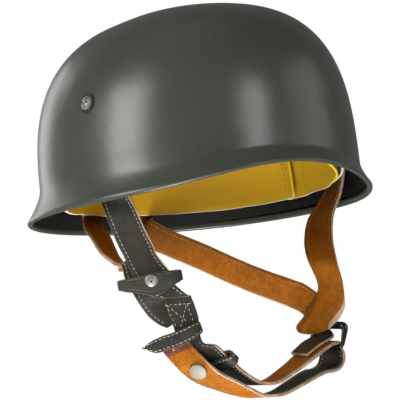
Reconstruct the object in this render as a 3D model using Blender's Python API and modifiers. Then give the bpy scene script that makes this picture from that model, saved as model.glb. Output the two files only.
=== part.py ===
"""A paratrooper helmet: pressed steel shell, leather liner and yoke straps with a doubled chin strap.

Metres, +Z up. The front points along -Y and the wearer's left along +X. The origin is the place
where the crown of the liner sits on the head. Heights are measured upwards from the rim plane.
"""

import math

import bmesh
import bpy
from mathutils import Vector

# Shell: rim, dome and flare
RIM_HALF_WIDTH = 0.1225
RIM_HALF_FRONT = 0.1330
RIM_HALF_BACK = 0.1430
DOME_HALF_WIDTH = 0.1150
DOME_HALF_FRONT = 0.1255
DOME_HALF_BACK = 0.1220
DOME_HEIGHT = 0.1480
DOME_LEAN = 0.0065
FLARE_HEIGHT = 0.0250
BROW_FLARE_HEIGHT = 0.0145
BROW_RISE = 0.0165
BROW_SPREAD = math.radians(36.0)
SHELL_WALL = 0.0012
HEM_RADIUS = 0.0021
HEM_LEG = 0.0030
PLAN_POWER = 2.1
SIDE_POWER = 2.66
BROW_POWER = 3.65
FLARE_POWER = 1.5
HEM_TURNS = (-180.0, -120.0, -60.0, 0.0)

# Liner: leather cap and carrier band
LINER_WALL = 0.0020
LINER_EDGE_HEIGHT = 0.0112
LINER_EDGE_RISE = 0.0150
LINER_EDGE_SPREAD = math.radians(52.0)
LINER_SIDE_INSET = 0.0147
LINER_FRONT_INSET = 0.0215
LINER_BACK_INSET = 0.0110
LINER_CROWN_DROP = 0.0340
LINER_CLIMB_POWER = 0.80
LINER_ROUND_POWER = 0.62
LINER_SEAM = math.radians(96.0)
LINER_LAP = math.radians(7.0)
BAND_WALL = 0.0012
BAND_EDGE_LIFT = 0.0020
BAND_FRONT_STANDOFF = 0.0090
BAND_ABOVE_BOLTS = 0.0100
BAND_BLEND_POWER = 0.5

# Bolts
BOLT_HEIGHT = 0.0740
BOLT_FRONT_ANGLE = math.radians(74.0)
BOLT_REAR_ANGLE = math.radians(166.0)
BOLT_FLANGE_RADIUS = 0.0073
BOLT_FLANGE_HEIGHT = 0.0009
BOLT_DOME_RADIUS = 0.0052
BOLT_DOME_HEIGHT = 0.0018
BOLT_SHANK_RADIUS = 0.0022
BOLT_NUT_RADIUS = 0.0050
BOLT_NUT_HEIGHT = 0.0012
SPANNER_HOLE_RADIUS = 0.0009
SPANNER_HOLE_SPACING = 0.0046
SPANNER_HOLE_DEPTH = 0.0010
BOLT_DOME_SHARES = ((0.55, 0.12), (0.85, 0.45))

# Straps and loops
STRAP_WIDTH = 0.0220
STRAP_WALL = 0.0022
CHIN_DROP = 0.1320
YOKE_TURN = math.radians(-34.0)
YOKE_LENGTH = 0.0435
KEEPER_UPPER_SPAN = 0.0435
KEEPER_LOWER_SPAN = 0.0400
KEEPER_FLAP = 0.0020
KEEPER_WIDTH = 0.0095
KEEPER_SMALL_WIDTH = 0.0105
KEEPER_SMALL_ROOM = 0.0044
KEEPER_SMALL_SPAN = 0.0300
GUARD_SHARE = 0.80
GUARD_LIFT = 0.0034
KEEPER_UPPER_LEAN = math.radians(2.0)
KEEPER_LOWER_LEAN = math.radians(10.0)
KEEPER_TAPER_START = 0.45
KEEPER_TAPER = 0.45
STUD_RADIUS = 0.0048
STUD_HEIGHT = 0.0022
CAP_RADIUS = 0.0062
CAP_HEIGHT = 0.0012
STUD_SHARES = ((0.6, 0.88), (0.9, 0.5))
WALL_SHARES = (0.0, 0.35, 0.7, 1.0)
FRONT_RIGHT_DRIFT = math.radians(3.0)
REAR_RIGHT_DRIFT = math.radians(-4.0)
FRONT_LEFT_DRIFT = math.radians(1.0)
REAR_LEFT_DRIFT = math.radians(6.0)

# Buckle
BUCKLE_HEIGHT = 0.0165
BUCKLE_WIRE_RADIUS = 0.0016
BUCKLE_SIDE_ROOM = 0.0010
BUCKLE_CORNER = 0.0035
BUCKLE_LEAN_SWING = 100.0
BUCKLE_LEAN_TIP = 76.0
BAR_SIDE = 0.622
BAR_FORE = 0.325
BAR_DROP = 0.822
BAR_SWING = 20.0
BAR_TIP = -7.0
BAR_WRAP_TURNS = (125.0, 85.0, 45.0, 5.0)

# Fits
FIT_GAP = 0.0003
FACET_ROOM = 0.0006
HOLE_ROOM = 0.0004

# Fineness of the faceted surfaces
SHELL_SEGMENTS = 56
LINER_SEGMENTS = 26
BAND_SEGMENTS = 48
BAND_SHARES = (0.0, 0.2, 0.4, 0.6, 0.75, 0.88, 1.0)
DOME_ROWS = 12
DOME_ROW_CROWDING = 1.3
FLARE_ROWS = 4
LINER_ROWS = 9
ROUND_SEGMENTS = 20
KEEPER_STEPS = 6
SHARP_ANGLE = math.radians(35.0)
STRAP_STEP = 0.0075
PROBE_RISE = 0.002
PROBE_TURN = 0.02

# Worked out from the sizes above
HALF_LENGTH = (RIM_HALF_FRONT + RIM_HALF_BACK) / 2.0
RIM_LEVEL = -(DOME_HEIGHT - LINER_CROWN_DROP - 1.5 * LINER_WALL)
LAYER = STRAP_WALL + FIT_GAP
STRAP_BOW = STRAP_WIDTH ** 2 / (8.0 * DOME_HALF_WIDTH)
STRAP_DEPTH = SHELL_WALL + FIT_GAP + FACET_ROOM + STRAP_BOW + STRAP_WALL / 2.0
BAND_DEPTH = STRAP_DEPTH + STRAP_WALL / 2.0 + FIT_GAP + BAND_WALL / 2.0
NUT_DEPTH = BAND_DEPTH + BAND_WALL / 2.0 + FIT_GAP + FACET_ROOM
BAND_TOP = BOLT_HEIGHT + BAND_ABOVE_BOLTS
KEEPER_FRONT = LAYER
KEEPER_BACK = -2.0 * LAYER
INSIDE_HEIGHT = 0.03
UP = Vector((0.0, 0.0, 1.0))

# Straps in the open: the middle line and the direction across the strap. Side, fore and drop are shares
# of the dome's half width, the half length and the chin drop; swing and tip are degrees.
FRONT_RIGHT_ROWS = (
    # side, fore, drop, swing, tip
    (-0.861, 0.304, -0.015, 34, 4),
    (-0.843, 0.333, 0.076, 48, 12),
    (-0.817, 0.355, 0.174, 54, 18),
    (-0.783, 0.378, 0.270, 56, 18),
)
REAR_RIGHT_ROWS = (
    (-0.245, -0.800, -0.040, -80, 0),
    (-0.409, -0.500, 0.083, -74, 0),
    (-0.530, -0.254, 0.205, -64, 0),
    (-0.687, 0.072, 0.310, -44, 2),
    (-0.780, 0.240, 0.320, 2, 14),
)
REAR_LEFT_ROWS = (
    (0.165, -0.835, -0.050, 254, -20),
    (0.139, -0.761, 0.016, 208, -52),
    (0.235, -0.652, 0.098, 182, -53),
    (0.348, -0.471, 0.205, 180, -53),
    (0.472, -0.199, 0.358, 176, -54),
    (0.490, 0.187, 0.500, 172, -58),
)
FRONT_LEFT_ROWS = (
    (0.900, 0.190, -0.060, 4, 1),
    (0.850, 0.130, 0.060, 28, 4),
    (0.803, 0.142, 0.191, 50, 2),
)

# The chin strap below the yoke: the inner run up to the buckle, then the returned outer run
CHIN_INNER_ROWS = (
    (-0.490, 0.515, 0.822, 44, 18),
    (-0.385, 0.510, 0.882, 20, 10),
    (-0.262, 0.508, 0.948, 4, 2),
    (-0.135, 0.505, 1.000, 0, -2),
    (0.000, 0.502, 1.003, -3, -5),
    (0.142, 0.494, 0.951, -2, -7),
    (0.301, 0.459, 0.887, 4, -8),
    (0.448, 0.408, 0.832, 12, -8),
    (0.540, 0.370, 0.806, 18, -7),
)
CHIN_OUTER_ROWS = (
    (0.655, 0.329, 0.855, 20, -7),
    (0.652, 0.331, 0.895, 20, -7),
    (0.612, 0.340, 0.935, 19, -7),
    (0.520, 0.380, 0.955, 16, -7),
    (0.405, 0.429, 0.964, 10, -7),
    (0.214, 0.484, 1.015, 2, -7),
    (0.040, 0.512, 1.066, -3, -5),
    (-0.110, 0.515, 1.074, 0, -2),
    (-0.225, 0.515, 1.044, 6, 4),
    (-0.340, 0.520, 1.005, 14, 8),
    (-0.440, 0.520, 0.970, 20, 10),
    (-0.535, 0.520, 0.918, 30, 10),
)

# The guard's upper end, and the rows of the chin strap that carry the small pieces
GUARD_TOP_ROWS = (
    (0.580, 0.345, 0.765, 24, -5),
    (0.600, 0.300, 0.728, 32, -3),
)
GUARD_FIRST_ROW = 6
KEEPER_SMALL_ROW = 1
SNAP_CAP_ROW = 11

# Yoke boards: their middles, as side, fore and drop shares, and the places of the small pieces on the
# right one, as shares across and down and a layer
RIGHT_BOARD = (-0.748, 0.413, 0.417)
LEFT_BOARD = (0.618, 0.388, 0.599)
KEEPER_UPPER_SPOT = (0.0, 0.02, 0.0)
KEEPER_LOWER_SPOT = (0.58, 0.95, 0.0)
STUD_SPOT = (0.05, 0.04, 1.0)

# The straps on the boards: a strap's left and right edges as shares of the strap width across and of the yoke
# length down, each with the layer of leather that it lies in, counted towards the front
FRONT_RIGHT_BOARD = (
    # left across, down, layer, right across, down, layer
    (-0.58, -0.15, 0.0, 0.25, -0.42, 0.0),
    (-0.40, 0.01, 0.0, 0.44, -0.26, 0.0),
    (-0.20, 0.15, 0.0, 0.66, -0.08, 0.0),
    (-0.02, 0.27, 0.0, 0.80, 0.13, 0.0),
    (0.33, 0.33, 0.0, 1.20, 0.33, 0.0),
)
REAR_RIGHT_BOARD = (
    (-0.86, -0.24, -1.0, -0.30, -0.46, -2.6),
    (-0.80, -0.06, -1.0, -0.10, -0.30, -1.4),
    (-0.68, 0.10, -1.0, 0.06, -0.14, -1.0),
    (-0.53, 0.26, -1.0, 0.28, 0.02, -1.0),
    (-0.38, 0.40, -1.5, 0.44, 0.14, -1.05),
    (-0.24, 0.52, -2.05, 0.60, 0.24, -1.9),
    (-0.08, 0.63, -2.05, 0.76, 0.34, -2.05),
    (0.18, 0.74, -2.05, 0.94, 0.50, -2.05),
    (0.42, 0.80, -2.05, 1.06, 0.62, -2.05),
)
CHIN_TOP_BOARD = (
    (0.36, 0.34, -1.0, 1.24, 0.31, -1.0),
    (0.48, 0.54, -1.0, 1.34, 0.48, -1.0),
    (0.60, 0.76, -1.0, 1.29, 0.70, -1.0),
    (0.72, 1.01, -1.0, 1.26, 0.94, -1.0),
    (0.88, 1.17, -1.0, 1.54, 1.09, -1.0),
)
CHIN_END_BOARD = (
    (0.30, 1.24, 0.0, 1.14, 1.10, 0.0),
    (0.20, 1.11, 0.0, 1.04, 0.95, 0.0),
    (0.12, 1.00, 0.0, 0.96, 0.85, 0.0),
)
FRONT_LEFT_BOARD = (
    (-0.61, -0.85, 0.0, 0.38, -0.80, 0.0),
    (-0.35, -0.43, 0.0, 0.50, -0.43, 0.0),
    (-0.40, -0.22, 0.0, 0.53, -0.12, 0.0),
    (-0.62, -0.04, 0.0, 0.50, 0.04, 0.0),
    (-0.95, 0.16, 0.0, 0.38, 0.16, 0.0),
    (-1.18, 0.30, 0.0, 0.20, 0.27, 0.0),
    (-1.10, 0.41, 0.0, -0.08, 0.38, 0.0),
    (-0.80, 0.45, 0.0, -0.40, 0.44, 0.0),
)
REAR_LEFT_BOARD = (
    (-0.76, -0.42, -2.0, -1.01, 0.05, -2.0),
    (-0.30, -0.22, -1.2, -0.58, 0.27, -1.2),
    (0.05, -0.08, -1.0, -0.20, 0.36, -1.0),
)

FINISHES = {
    # colour, roughness, metallic
    "field_grey_steel": ((0.085, 0.088, 0.075), 0.38, 0.35),
    "yellow_leather": ((0.540, 0.340, 0.020), 0.55, 0.0),
    "pale_band": ((0.800, 0.780, 0.740), 0.60, 0.0),
    "bolt_steel": ((0.230, 0.240, 0.210), 0.35, 0.8),
    "strap_leather": ((0.060, 0.060, 0.048), 0.50, 0.0),
    "stud_steel": ((0.700, 0.690, 0.650), 0.30, 0.9),
    "white_cap": ((0.780, 0.760, 0.730), 0.45, 0.0),
    "black_steel": ((0.010, 0.010, 0.010), 0.25, 0.6),
}


def clear_scene():
    """Removes what the file held before."""
    for old in list(bpy.data.objects):
        bpy.data.objects.remove(old, do_unlink=True)


def new_collection(name):
    """Adds a collection to the scene."""
    made = bpy.data.collections.new(name)
    bpy.context.scene.collection.children.link(made)
    return made


def make_materials():
    """One Principled material for each finish."""
    made = {}
    for name, (colour, roughness, metallic) in FINISHES.items():
        material = bpy.data.materials.new(name)
        material.use_nodes = True
        shader = material.node_tree.nodes["Principled BSDF"]
        shader.inputs["Base Color"].default_value = (*colour, 1.0)
        shader.inputs["Roughness"].default_value = roughness
        shader.inputs["Metallic"].default_value = metallic
        made[name] = material
    return made


def place(x, y, height):
    """A point at a height above the rim plane."""
    return Vector((x, y, RIM_LEVEL + height))


def share_point(side, fore, drop):
    """A point from its shares of the half width and the half length, and of the chin drop below the rim."""
    return place(side * DOME_HALF_WIDTH, -fore * HALF_LENGTH, -drop * CHIN_DROP)


def direction(swing, tip):
    """A unit vector from its swing away from the front and its tip upwards, in degrees."""
    turn = math.radians(swing)
    rise = math.radians(tip)
    return Vector((math.sin(turn) * math.cos(rise), -math.cos(turn) * math.cos(rise), math.sin(rise)))


def frontness(angle):
    """1 at the brow and 0 from the sides backwards."""
    return max(0.0, math.cos(angle)) ** 2


def bell(angle, spread):
    """A smooth bump round the brow."""
    turned = (angle + math.pi) % (2.0 * math.pi) - math.pi
    return math.exp(-((turned / spread) ** 2))


def plan(angle, half_width, half_front, half_back):
    """The x and y of a rounded oval; the angle runs from the front towards the wearer's left."""
    half_length = half_front if math.cos(angle) >= 0.0 else half_back
    along = abs(math.cos(angle) / half_length) ** PLAN_POWER
    across = abs(math.sin(angle) / half_width) ** PLAN_POWER
    radius = (along + across) ** (-1.0 / PLAN_POWER)
    return radius * math.sin(angle), -radius * math.cos(angle)


def rim_height(angle):
    """The height of the rim's edge, which arches over the brow."""
    return BROW_RISE * bell(angle, BROW_SPREAD)


def crease_height(angle):
    """The height at which the wall turns out into the flare."""
    flare = FLARE_HEIGHT - (FLARE_HEIGHT - BROW_FLARE_HEIGHT) * frontness(angle)
    return rim_height(angle) + flare


def dome_scale(angle, height):
    """The share of the crease's half sizes that is left at a height, and the share of the climb."""
    base = crease_height(angle)
    climb = min(1.0, max(0.0, (height - base) / (DOME_HEIGHT - base)))
    power = SIDE_POWER + (BROW_POWER - SIDE_POWER) * frontness(angle)
    return (1.0 - climb ** power) ** (1.0 / power), climb


def wall_point(angle, height):
    """A point of the shell's outer face."""
    scale, climb = dome_scale(angle, height)
    x, y = plan(angle, DOME_HALF_WIDTH * scale, DOME_HALF_FRONT * scale, DOME_HALF_BACK * scale)
    return place(x, y + DOME_LEAN * climb, height)


def wall_normal(angle, height):
    """The outward direction of the shell's wall."""
    along = wall_point(angle + PROBE_TURN, height) - wall_point(angle - PROBE_TURN, height)
    rise = wall_point(angle, height + PROBE_RISE) - wall_point(angle, height - PROBE_RISE)
    return along.cross(rise).normalized()


def dome_ring(angles, share):
    """A ring of the dome at a share of the quarter turn from crease to crown."""
    ring = []
    for angle in angles:
        power = SIDE_POWER + (BROW_POWER - SIDE_POWER) * frontness(angle)
        turn = share * math.pi / 2.0
        climb = math.sin(turn) ** (2.0 / power)
        scale = math.cos(turn) ** (2.0 / power)
        base = crease_height(angle)
        x, y = plan(angle, DOME_HALF_WIDTH * scale, DOME_HALF_FRONT * scale, DOME_HALF_BACK * scale)
        ring.append(place(x, y + DOME_LEAN * climb, base + (DOME_HEIGHT - base) * climb))
    return ring


def add_surface(name, rows, closed, home, pole=None, faces_out_from=None):
    """An open surface through rows of points, with an optional pole after the last row."""
    mesh = bpy.data.meshes.new(name)
    model = bmesh.new()
    grid = [[model.verts.new(point) for point in row] for row in rows]
    for lower, upper in zip(grid, grid[1:]):
        count = len(lower)
        for i in range(count if closed else count - 1):
            j = (i + 1) % count
            model.faces.new((lower[i], lower[j], upper[j], upper[i]))
    if pole is not None:
        tip = model.verts.new(pole)
        last = grid[-1]
        for i in range(len(last) if closed else len(last) - 1):
            model.faces.new((last[i], last[(i + 1) % len(last)], tip))
    if faces_out_from is not None:
        model.normal_update()
        outward = sum(f.normal.dot(f.calc_center_median() - faces_out_from) for f in model.faces)
        if outward < 0.0:
            bmesh.ops.reverse_faces(model, faces=model.faces)
    model.to_mesh(mesh)
    model.free()
    made = bpy.data.objects.new(name, mesh)
    home.objects.link(made)
    return made


def thicken(item, thickness, offset):
    """Gives an open surface its wall."""
    wall = item.modifiers.new("wall", "SOLIDIFY")
    wall.thickness = thickness
    wall.offset = offset
    wall.use_even_offset = True


def finish(item, material):
    """Gives a piece its material and smooth shading up to sharp edges."""
    item.data.materials.clear()
    item.data.materials.append(material)
    item.data.shade_smooth()
    item.data.set_sharp_from_angle(angle=SHARP_ANGLE)


def cut(item, cutters):
    """Takes each cutter out of a piece."""
    for cutter in cutters:
        bore = item.modifiers.new("hole", "BOOLEAN")
        bore.operation = "DIFFERENCE"
        bore.solver = "EXACT"
        bore.object = cutter


def add_cylinder(name, centre, axis, radius, length, home, hidden=False):
    """A closed cylinder along an axis, with its place in its mesh."""
    model = bmesh.new()
    bmesh.ops.create_cone(
        model,
        cap_ends=True,
        cap_tris=False,
        segments=ROUND_SEGMENTS,
        radius1=radius,
        radius2=radius,
        depth=length,
    )
    mesh = bpy.data.meshes.new(name)
    model.to_mesh(mesh)
    model.free()
    made = bpy.data.objects.new(name, mesh)
    made.location = centre
    made.rotation_mode = "QUATERNION"
    made.rotation_quaternion = axis.to_track_quat("Z", "Y")
    made.hide_render = hidden
    made.display_type = "WIRE" if hidden else "TEXTURED"
    home.objects.link(made)
    return made


def add_turned(name, profile, origin, axis, home):
    """A turned piece: its profile runs down the outer side from the axis and back to it."""
    mesh = bpy.data.meshes.new(name)
    points = [(radius, 0.0, level) for radius, level in profile]
    mesh.from_pydata(points, [(i, i + 1) for i in range(len(points) - 1)], [])
    made = bpy.data.objects.new(name, mesh)
    home.objects.link(made)
    screw = made.modifiers.new("turn", "SCREW")
    screw.axis = "Z"
    screw.steps = ROUND_SEGMENTS
    screw.render_steps = ROUND_SEGMENTS
    screw.use_merge_vertices = True
    screw.merge_threshold = 0.00005
    made.location = origin
    made.rotation_mode = "QUATERNION"
    made.rotation_quaternion = axis.to_track_quat("Z", "Y")
    return made


def make_shell(home, material):
    """The steel dome with its flare and its hem, folded inwards round the edge."""
    angles = [2.0 * math.pi * i / SHELL_SEGMENTS for i in range(SHELL_SEGMENTS)]
    rows = []
    for leg in (HEM_LEG, 0.0):
        rows.append([hem_point(a, HEM_TURNS[0], leg) for a in angles])
    for turn in HEM_TURNS[1:]:
        rows.append([hem_point(a, turn, 0.0) for a in angles])
    for row in range(1, FLARE_ROWS + 1):
        rows.append([flare_point(a, row / FLARE_ROWS) for a in angles])
    for row in range(1, DOME_ROWS):
        rows.append(dome_ring(angles, (row / DOME_ROWS) ** DOME_ROW_CROWDING))
    crown = place(0.0, DOME_LEAN, DOME_HEIGHT)
    shell = add_surface("shell", rows, True, home, crown, place(0.0, 0.0, INSIDE_HEIGHT))
    thicken(shell, SHELL_WALL, -1.0)
    finish(shell, material)
    return shell


def flare_point(angle, share):
    """A point of the flare's outer face, from the rim's edge at 0 to the crease at 1."""
    outer = plan(angle, RIM_HALF_WIDTH, RIM_HALF_FRONT, RIM_HALF_BACK)
    inner = plan(angle, DOME_HALF_WIDTH, DOME_HALF_FRONT, DOME_HALF_BACK)
    low = rim_height(angle) + HEM_RADIUS
    blend = (1.0 - share) ** FLARE_POWER
    x = inner[0] + (outer[0] - inner[0]) * blend
    y = inner[1] + (outer[1] - inner[1]) * blend
    return place(x, y, low + (crease_height(angle) - low) * share)


def hem_point(angle, turn, leg):
    """A point of the hem's outer face; the turn runs under the edge and up its inner leg."""
    edge = flare_point(angle, 0.0)
    inward = -Vector((math.sin(angle), -math.cos(angle), 0.0))
    roll = math.radians(turn)
    middle = edge + inward * HEM_RADIUS
    return middle - inward * HEM_RADIUS * math.cos(roll) + UP * (HEM_RADIUS * math.sin(roll) + leg)


def liner_edge_height(angle):
    """The height of the leather's lower edge, which rises over the brow."""
    return LINER_EDGE_HEIGHT + LINER_EDGE_RISE * bell(angle, LINER_EDGE_SPREAD)


def liner_point(angle, share, depth):
    """A point of the leather's middle face: up the side to the bolts, then over the crown."""
    low = liner_edge_height(angle)
    crown = DOME_HEIGHT - LINER_CROWN_DROP
    turn = share * math.pi / 2.0
    climb = math.sin(turn) ** LINER_CLIMB_POWER
    scale = math.cos(turn) ** LINER_ROUND_POWER
    height = low + (crown - low) * climb
    edge = plan(
        angle,
        DOME_HALF_WIDTH - LINER_SIDE_INSET - depth,
        DOME_HALF_FRONT - LINER_FRONT_INSET - depth,
        DOME_HALF_BACK - LINER_BACK_INSET - depth,
    )
    x = edge[0] * scale
    y = edge[1] * scale + DOME_LEAN * climb
    return place(x, y, height - depth * climb)


def make_liner(home, material):
    """The two leather halves; the back one lies inside the front one where they lap."""
    lap = LINER_WALL + FIT_GAP
    halves = (
        ("liner_front", -LINER_SEAM - LINER_LAP, LINER_SEAM + LINER_LAP, 0.0),
        ("liner_back", LINER_SEAM, 2.0 * math.pi - LINER_SEAM, lap),
    )
    for name, first, last, depth in halves:
        angles = [first + (last - first) * i / LINER_SEGMENTS for i in range(LINER_SEGMENTS + 1)]
        rows = []
        for row in range(LINER_ROWS):
            rows.append([liner_point(a, row / LINER_ROWS, depth) for a in angles])
        pole = liner_point(0.0, 1.0, depth)
        half = add_surface(name, rows, False, home, pole, place(0.0, 0.0, INSIDE_HEIGHT))
        thicken(half, LINER_WALL, 0.0)
        finish(half, material)


def inside_wall(angle, height, depth):
    """A point at a true depth inside the shell's outer face."""
    return wall_point(angle, height) - wall_normal(angle, height) * depth


def band_point(angle, share):
    """A point of the carrier band's middle face, from its lower edge at 0 to its top at 1."""
    low = liner_edge_height(angle) + BAND_EDGE_LIFT
    height = low + (BAND_TOP - low) * share
    clamped = (BOLT_HEIGHT - BAND_ABOVE_BOLTS - low) / (BAND_TOP - low)
    blend = min(1.0, share / clamped) ** BAND_BLEND_POWER
    standoff = LINER_WALL / 2.0 + FIT_GAP + BAND_WALL / 2.0
    reach = frontness(angle)
    x, y = plan(
        angle,
        DOME_HALF_WIDTH - LINER_SIDE_INSET + standoff,
        DOME_HALF_FRONT - LINER_FRONT_INSET + BAND_FRONT_STANDOFF * reach + standoff,
        DOME_HALF_BACK - LINER_BACK_INSET + standoff,
    )
    return place(x, y, height).lerp(inside_wall(angle, height, BAND_DEPTH), blend)


def make_band(home, material):
    """The carrier band that stands between the leather and the straps."""
    angles = [2.0 * math.pi * i / BAND_SEGMENTS for i in range(BAND_SEGMENTS)]
    rows = [[band_point(a, share) for a in angles] for share in BAND_SHARES]
    band = add_surface("liner_band", rows, True, home, None, place(0.0, 0.0, INSIDE_HEIGHT))
    thicken(band, BAND_WALL, 0.0)
    finish(band, material)
    return band


def bolt_frame(angle):
    """A bolt's seat on the shell's outer face and the direction that its head points in."""
    return wall_point(angle, BOLT_HEIGHT), wall_normal(angle, BOLT_HEIGHT)


def make_bolt(name, angle, home, cutters, material):
    """A spanner bolt: flange, domed head with two holes, plain shank and nut, as one turned piece."""
    seat, out = bolt_frame(angle)
    base = FIT_GAP
    flange = base + BOLT_FLANGE_HEIGHT
    top = flange + BOLT_DOME_HEIGHT
    nut = -(NUT_DEPTH + FIT_GAP)
    profile = (
        (0.0, top),
        *((BOLT_DOME_RADIUS * out_share, top - BOLT_DOME_HEIGHT * down_share)
          for out_share, down_share in BOLT_DOME_SHARES),
        (BOLT_DOME_RADIUS, flange),
        (BOLT_FLANGE_RADIUS, flange),
        (BOLT_FLANGE_RADIUS, base),
        (BOLT_SHANK_RADIUS, base),
        (BOLT_SHANK_RADIUS, nut),
        (BOLT_NUT_RADIUS, nut),
        (BOLT_NUT_RADIUS, nut - BOLT_NUT_HEIGHT),
        (0.0, nut - BOLT_NUT_HEIGHT),
    )
    bolt = add_turned(name, profile, seat, out, home)
    across = UP.cross(out).normalized()
    holes = []
    for side in (-1.0, 1.0):
        centre = seat + out * top + across * side * SPANNER_HOLE_SPACING / 2.0
        hole = add_cylinder(
            f"{name}_hole_{'a' if side < 0 else 'b'}",
            centre,
            out,
            SPANNER_HOLE_RADIUS,
            2.0 * SPANNER_HOLE_DEPTH,
            cutters,
            hidden=True,
        )
        holes.append(hole)
    cut(bolt, holes)
    finish(bolt, material)
    reach = NUT_DEPTH + BOLT_NUT_HEIGHT
    return add_cylinder(
        f"{name}_bore", seat, out, BOLT_SHANK_RADIUS + HOLE_ROOM, 2.0 * reach, cutters, hidden=True
    )


def smooth_between(before, start, end, after, share):
    """A point of a smooth curve through four points, between the middle two."""
    a = 2.0 * start
    b = (end - before) * share
    c = (2.0 * before - 5.0 * start + 4.0 * end - after) * share ** 2
    d = (3.0 * start - before - 3.0 * end + after) * share ** 3
    return (a + b + c + d) / 2.0


def smooth_edges(rows):
    """Runs smooth curves through the left and right edge points, with even steps."""
    sampled = []
    for i in range(len(rows) - 1):
        before = rows[max(0, i - 1)]
        start = rows[i]
        end = rows[i + 1]
        after = rows[min(len(rows) - 1, i + 2)]
        span = max((end[0] - start[0]).length, (end[1] - start[1]).length)
        steps = max(1, round(span / STRAP_STEP))
        for k in range(steps):
            share = k / steps
            sampled.append(
                tuple(smooth_between(before[e], start[e], end[e], after[e], share) for e in (0, 1))
            )
    sampled.append(rows[-1])
    return sampled


def add_strap(name, rows, home, material):
    """A leather strap between its left and right edges."""
    surface = []
    for left, right in smooth_edges(rows):
        surface.append([left, (left + right) / 2.0, right])
    strap = add_surface(name, surface, False, home)
    thicken(strap, STRAP_WALL, 0.0)
    finish(strap, material)
    return strap


def edges_at(middle, across, width=STRAP_WIDTH):
    """The two edge points of a strap's row."""
    return middle - across * width / 2.0, middle + across * width / 2.0


def open_rows(table):
    """The rows of a strap in the open."""
    rows = []
    for side, fore, drop, swing, tip in table:
        middle = share_point(side, fore, drop)
        rows.append(edges_at(middle, direction(swing, tip)))
    return rows


def wall_rows(angle, drift, inward=False):
    """The rows of a strap between the shell and the band, from the band's top down to the crease."""
    drop = BOLT_HEIGHT - FLARE_HEIGHT
    rows = []
    for share in (-BAND_ABOVE_BOLTS / drop, *WALL_SHARES):
        turn = angle + drift * max(0.0, share)
        height = BOLT_HEIGHT - drop * share
        middle = inside_wall(turn, height, STRAP_DEPTH)
        across = UP.cross(wall_normal(turn, height)).normalized()
        rows.append(edges_at(middle, -across if inward else across))
    return rows


class Board:
    """A flat place where straps lie on each other: across, down and outwards in layers."""

    def __init__(self, middle, turn):
        self.middle = middle
        self.across = Vector((math.cos(turn), math.sin(turn), 0.0))
        self.face = Vector((math.sin(turn), -math.cos(turn), 0.0))

    def point(self, across, down, layer):
        """A point from shares of the strap width and the yoke length, and a layer."""
        spot = self.middle + self.across * across * STRAP_WIDTH - UP * down * YOKE_LENGTH
        return spot + self.face * layer * LAYER

    def leaning(self, lean):
        """The direction across the board, tipped upwards by an angle."""
        return self.across * math.cos(lean) + UP * math.sin(lean)

    def rows(self, table):
        """Edge points from a table of board rows."""
        return [(self.point(*row[:3]), self.point(*row[3:])) for row in table]


def keeper_ring(middle, along, out, span, front, back, taper):
    """The middle line of a flattened loop, as points from its front to its back and round again."""
    depth = (front - back) / 2.0
    centre = middle + out * (front + back) / 2.0
    straight = span / 2.0 - depth
    ring = []
    for i in range(KEEPER_STEPS + 1):
        turn = math.pi * (i / KEEPER_STEPS - 0.5)
        ring.append(centre + along * (straight + depth * math.cos(turn)) + out * depth * math.sin(turn))
    for i in range(KEEPER_STEPS + 1):
        turn = math.pi * (i / KEEPER_STEPS + 0.5)
        reach = straight + taper
        ring.append(centre + along * (-reach + depth * math.cos(turn)) + out * depth * math.sin(turn))
    return ring


def add_keeper(name, middle, along, out, width, span, front, back, home, material, taper=0.0):
    """A leather loop round straps, from a ring drawn twice at its two edges."""
    down = along.cross(out).normalized()
    ring = keeper_ring(middle, along, out, span, front, back, taper)
    low = []
    high = []
    for point in ring:
        reach = (point - middle).dot(along) / (span / 2.0)
        share = 1.0 - KEEPER_TAPER * max(0.0, -reach - KEEPER_TAPER_START) if taper > 0.0 else 1.0
        low.append(point + down * width / 2.0 * share)
        high.append(point - down * width / 2.0 * share)
    keeper = add_surface(name, [low, high], True, home, None, middle + out * (front + back) / 2.0)
    thicken(keeper, STRAP_WALL, 0.0)
    finish(keeper, material)
    return keeper


def make_right_yoke(home, materials):
    """The wearer's right: two legs, two keepers, the press stud and the board that they lie on."""
    leather = materials["strap_leather"]
    board = Board(share_point(*RIGHT_BOARD), YOKE_TURN)
    rows = wall_rows(-BOLT_FRONT_ANGLE, FRONT_RIGHT_DRIFT)
    rows += open_rows(FRONT_RIGHT_ROWS) + board.rows(FRONT_RIGHT_BOARD)
    front = add_strap("strap_front_right", rows, home, leather)
    rows = wall_rows(-BOLT_REAR_ANGLE, REAR_RIGHT_DRIFT)
    rows += open_rows(REAR_RIGHT_ROWS) + board.rows(REAR_RIGHT_BOARD)
    rear = add_strap("strap_rear_right", rows, home, leather)
    along = board.leaning(KEEPER_UPPER_LEAN)
    add_keeper(
        "keeper_upper", board.point(*KEEPER_UPPER_SPOT), along, board.face, KEEPER_WIDTH,
        KEEPER_UPPER_SPAN, KEEPER_FRONT, KEEPER_BACK, home, leather,
    )
    stud_seat = board.point(*STUD_SPOT) + board.face * (STRAP_WALL / 2.0 + FIT_GAP)
    add_stud("stud_upper", stud_seat, board.face, STUD_RADIUS, STUD_HEIGHT, home, materials["stud_steel"])
    along = board.leaning(KEEPER_LOWER_LEAN)
    add_keeper(
        "keeper_lower", board.point(*KEEPER_LOWER_SPOT), along, board.face, KEEPER_WIDTH,
        KEEPER_LOWER_SPAN, KEEPER_FRONT, KEEPER_BACK, home, leather, taper=KEEPER_FLAP,
    )
    return board, front, rear


def add_stud(name, seat, out, radius, height, home, material):
    """A domed press stud cap."""
    profile = (
        (0.0, height),
        *((radius * out_share, height * up_share) for out_share, up_share in STUD_SHARES),
        (radius, 0.0),
        (0.0, 0.0),
    )
    stud = add_turned(name, profile, seat, out, home)
    finish(stud, material)
    return stud


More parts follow.
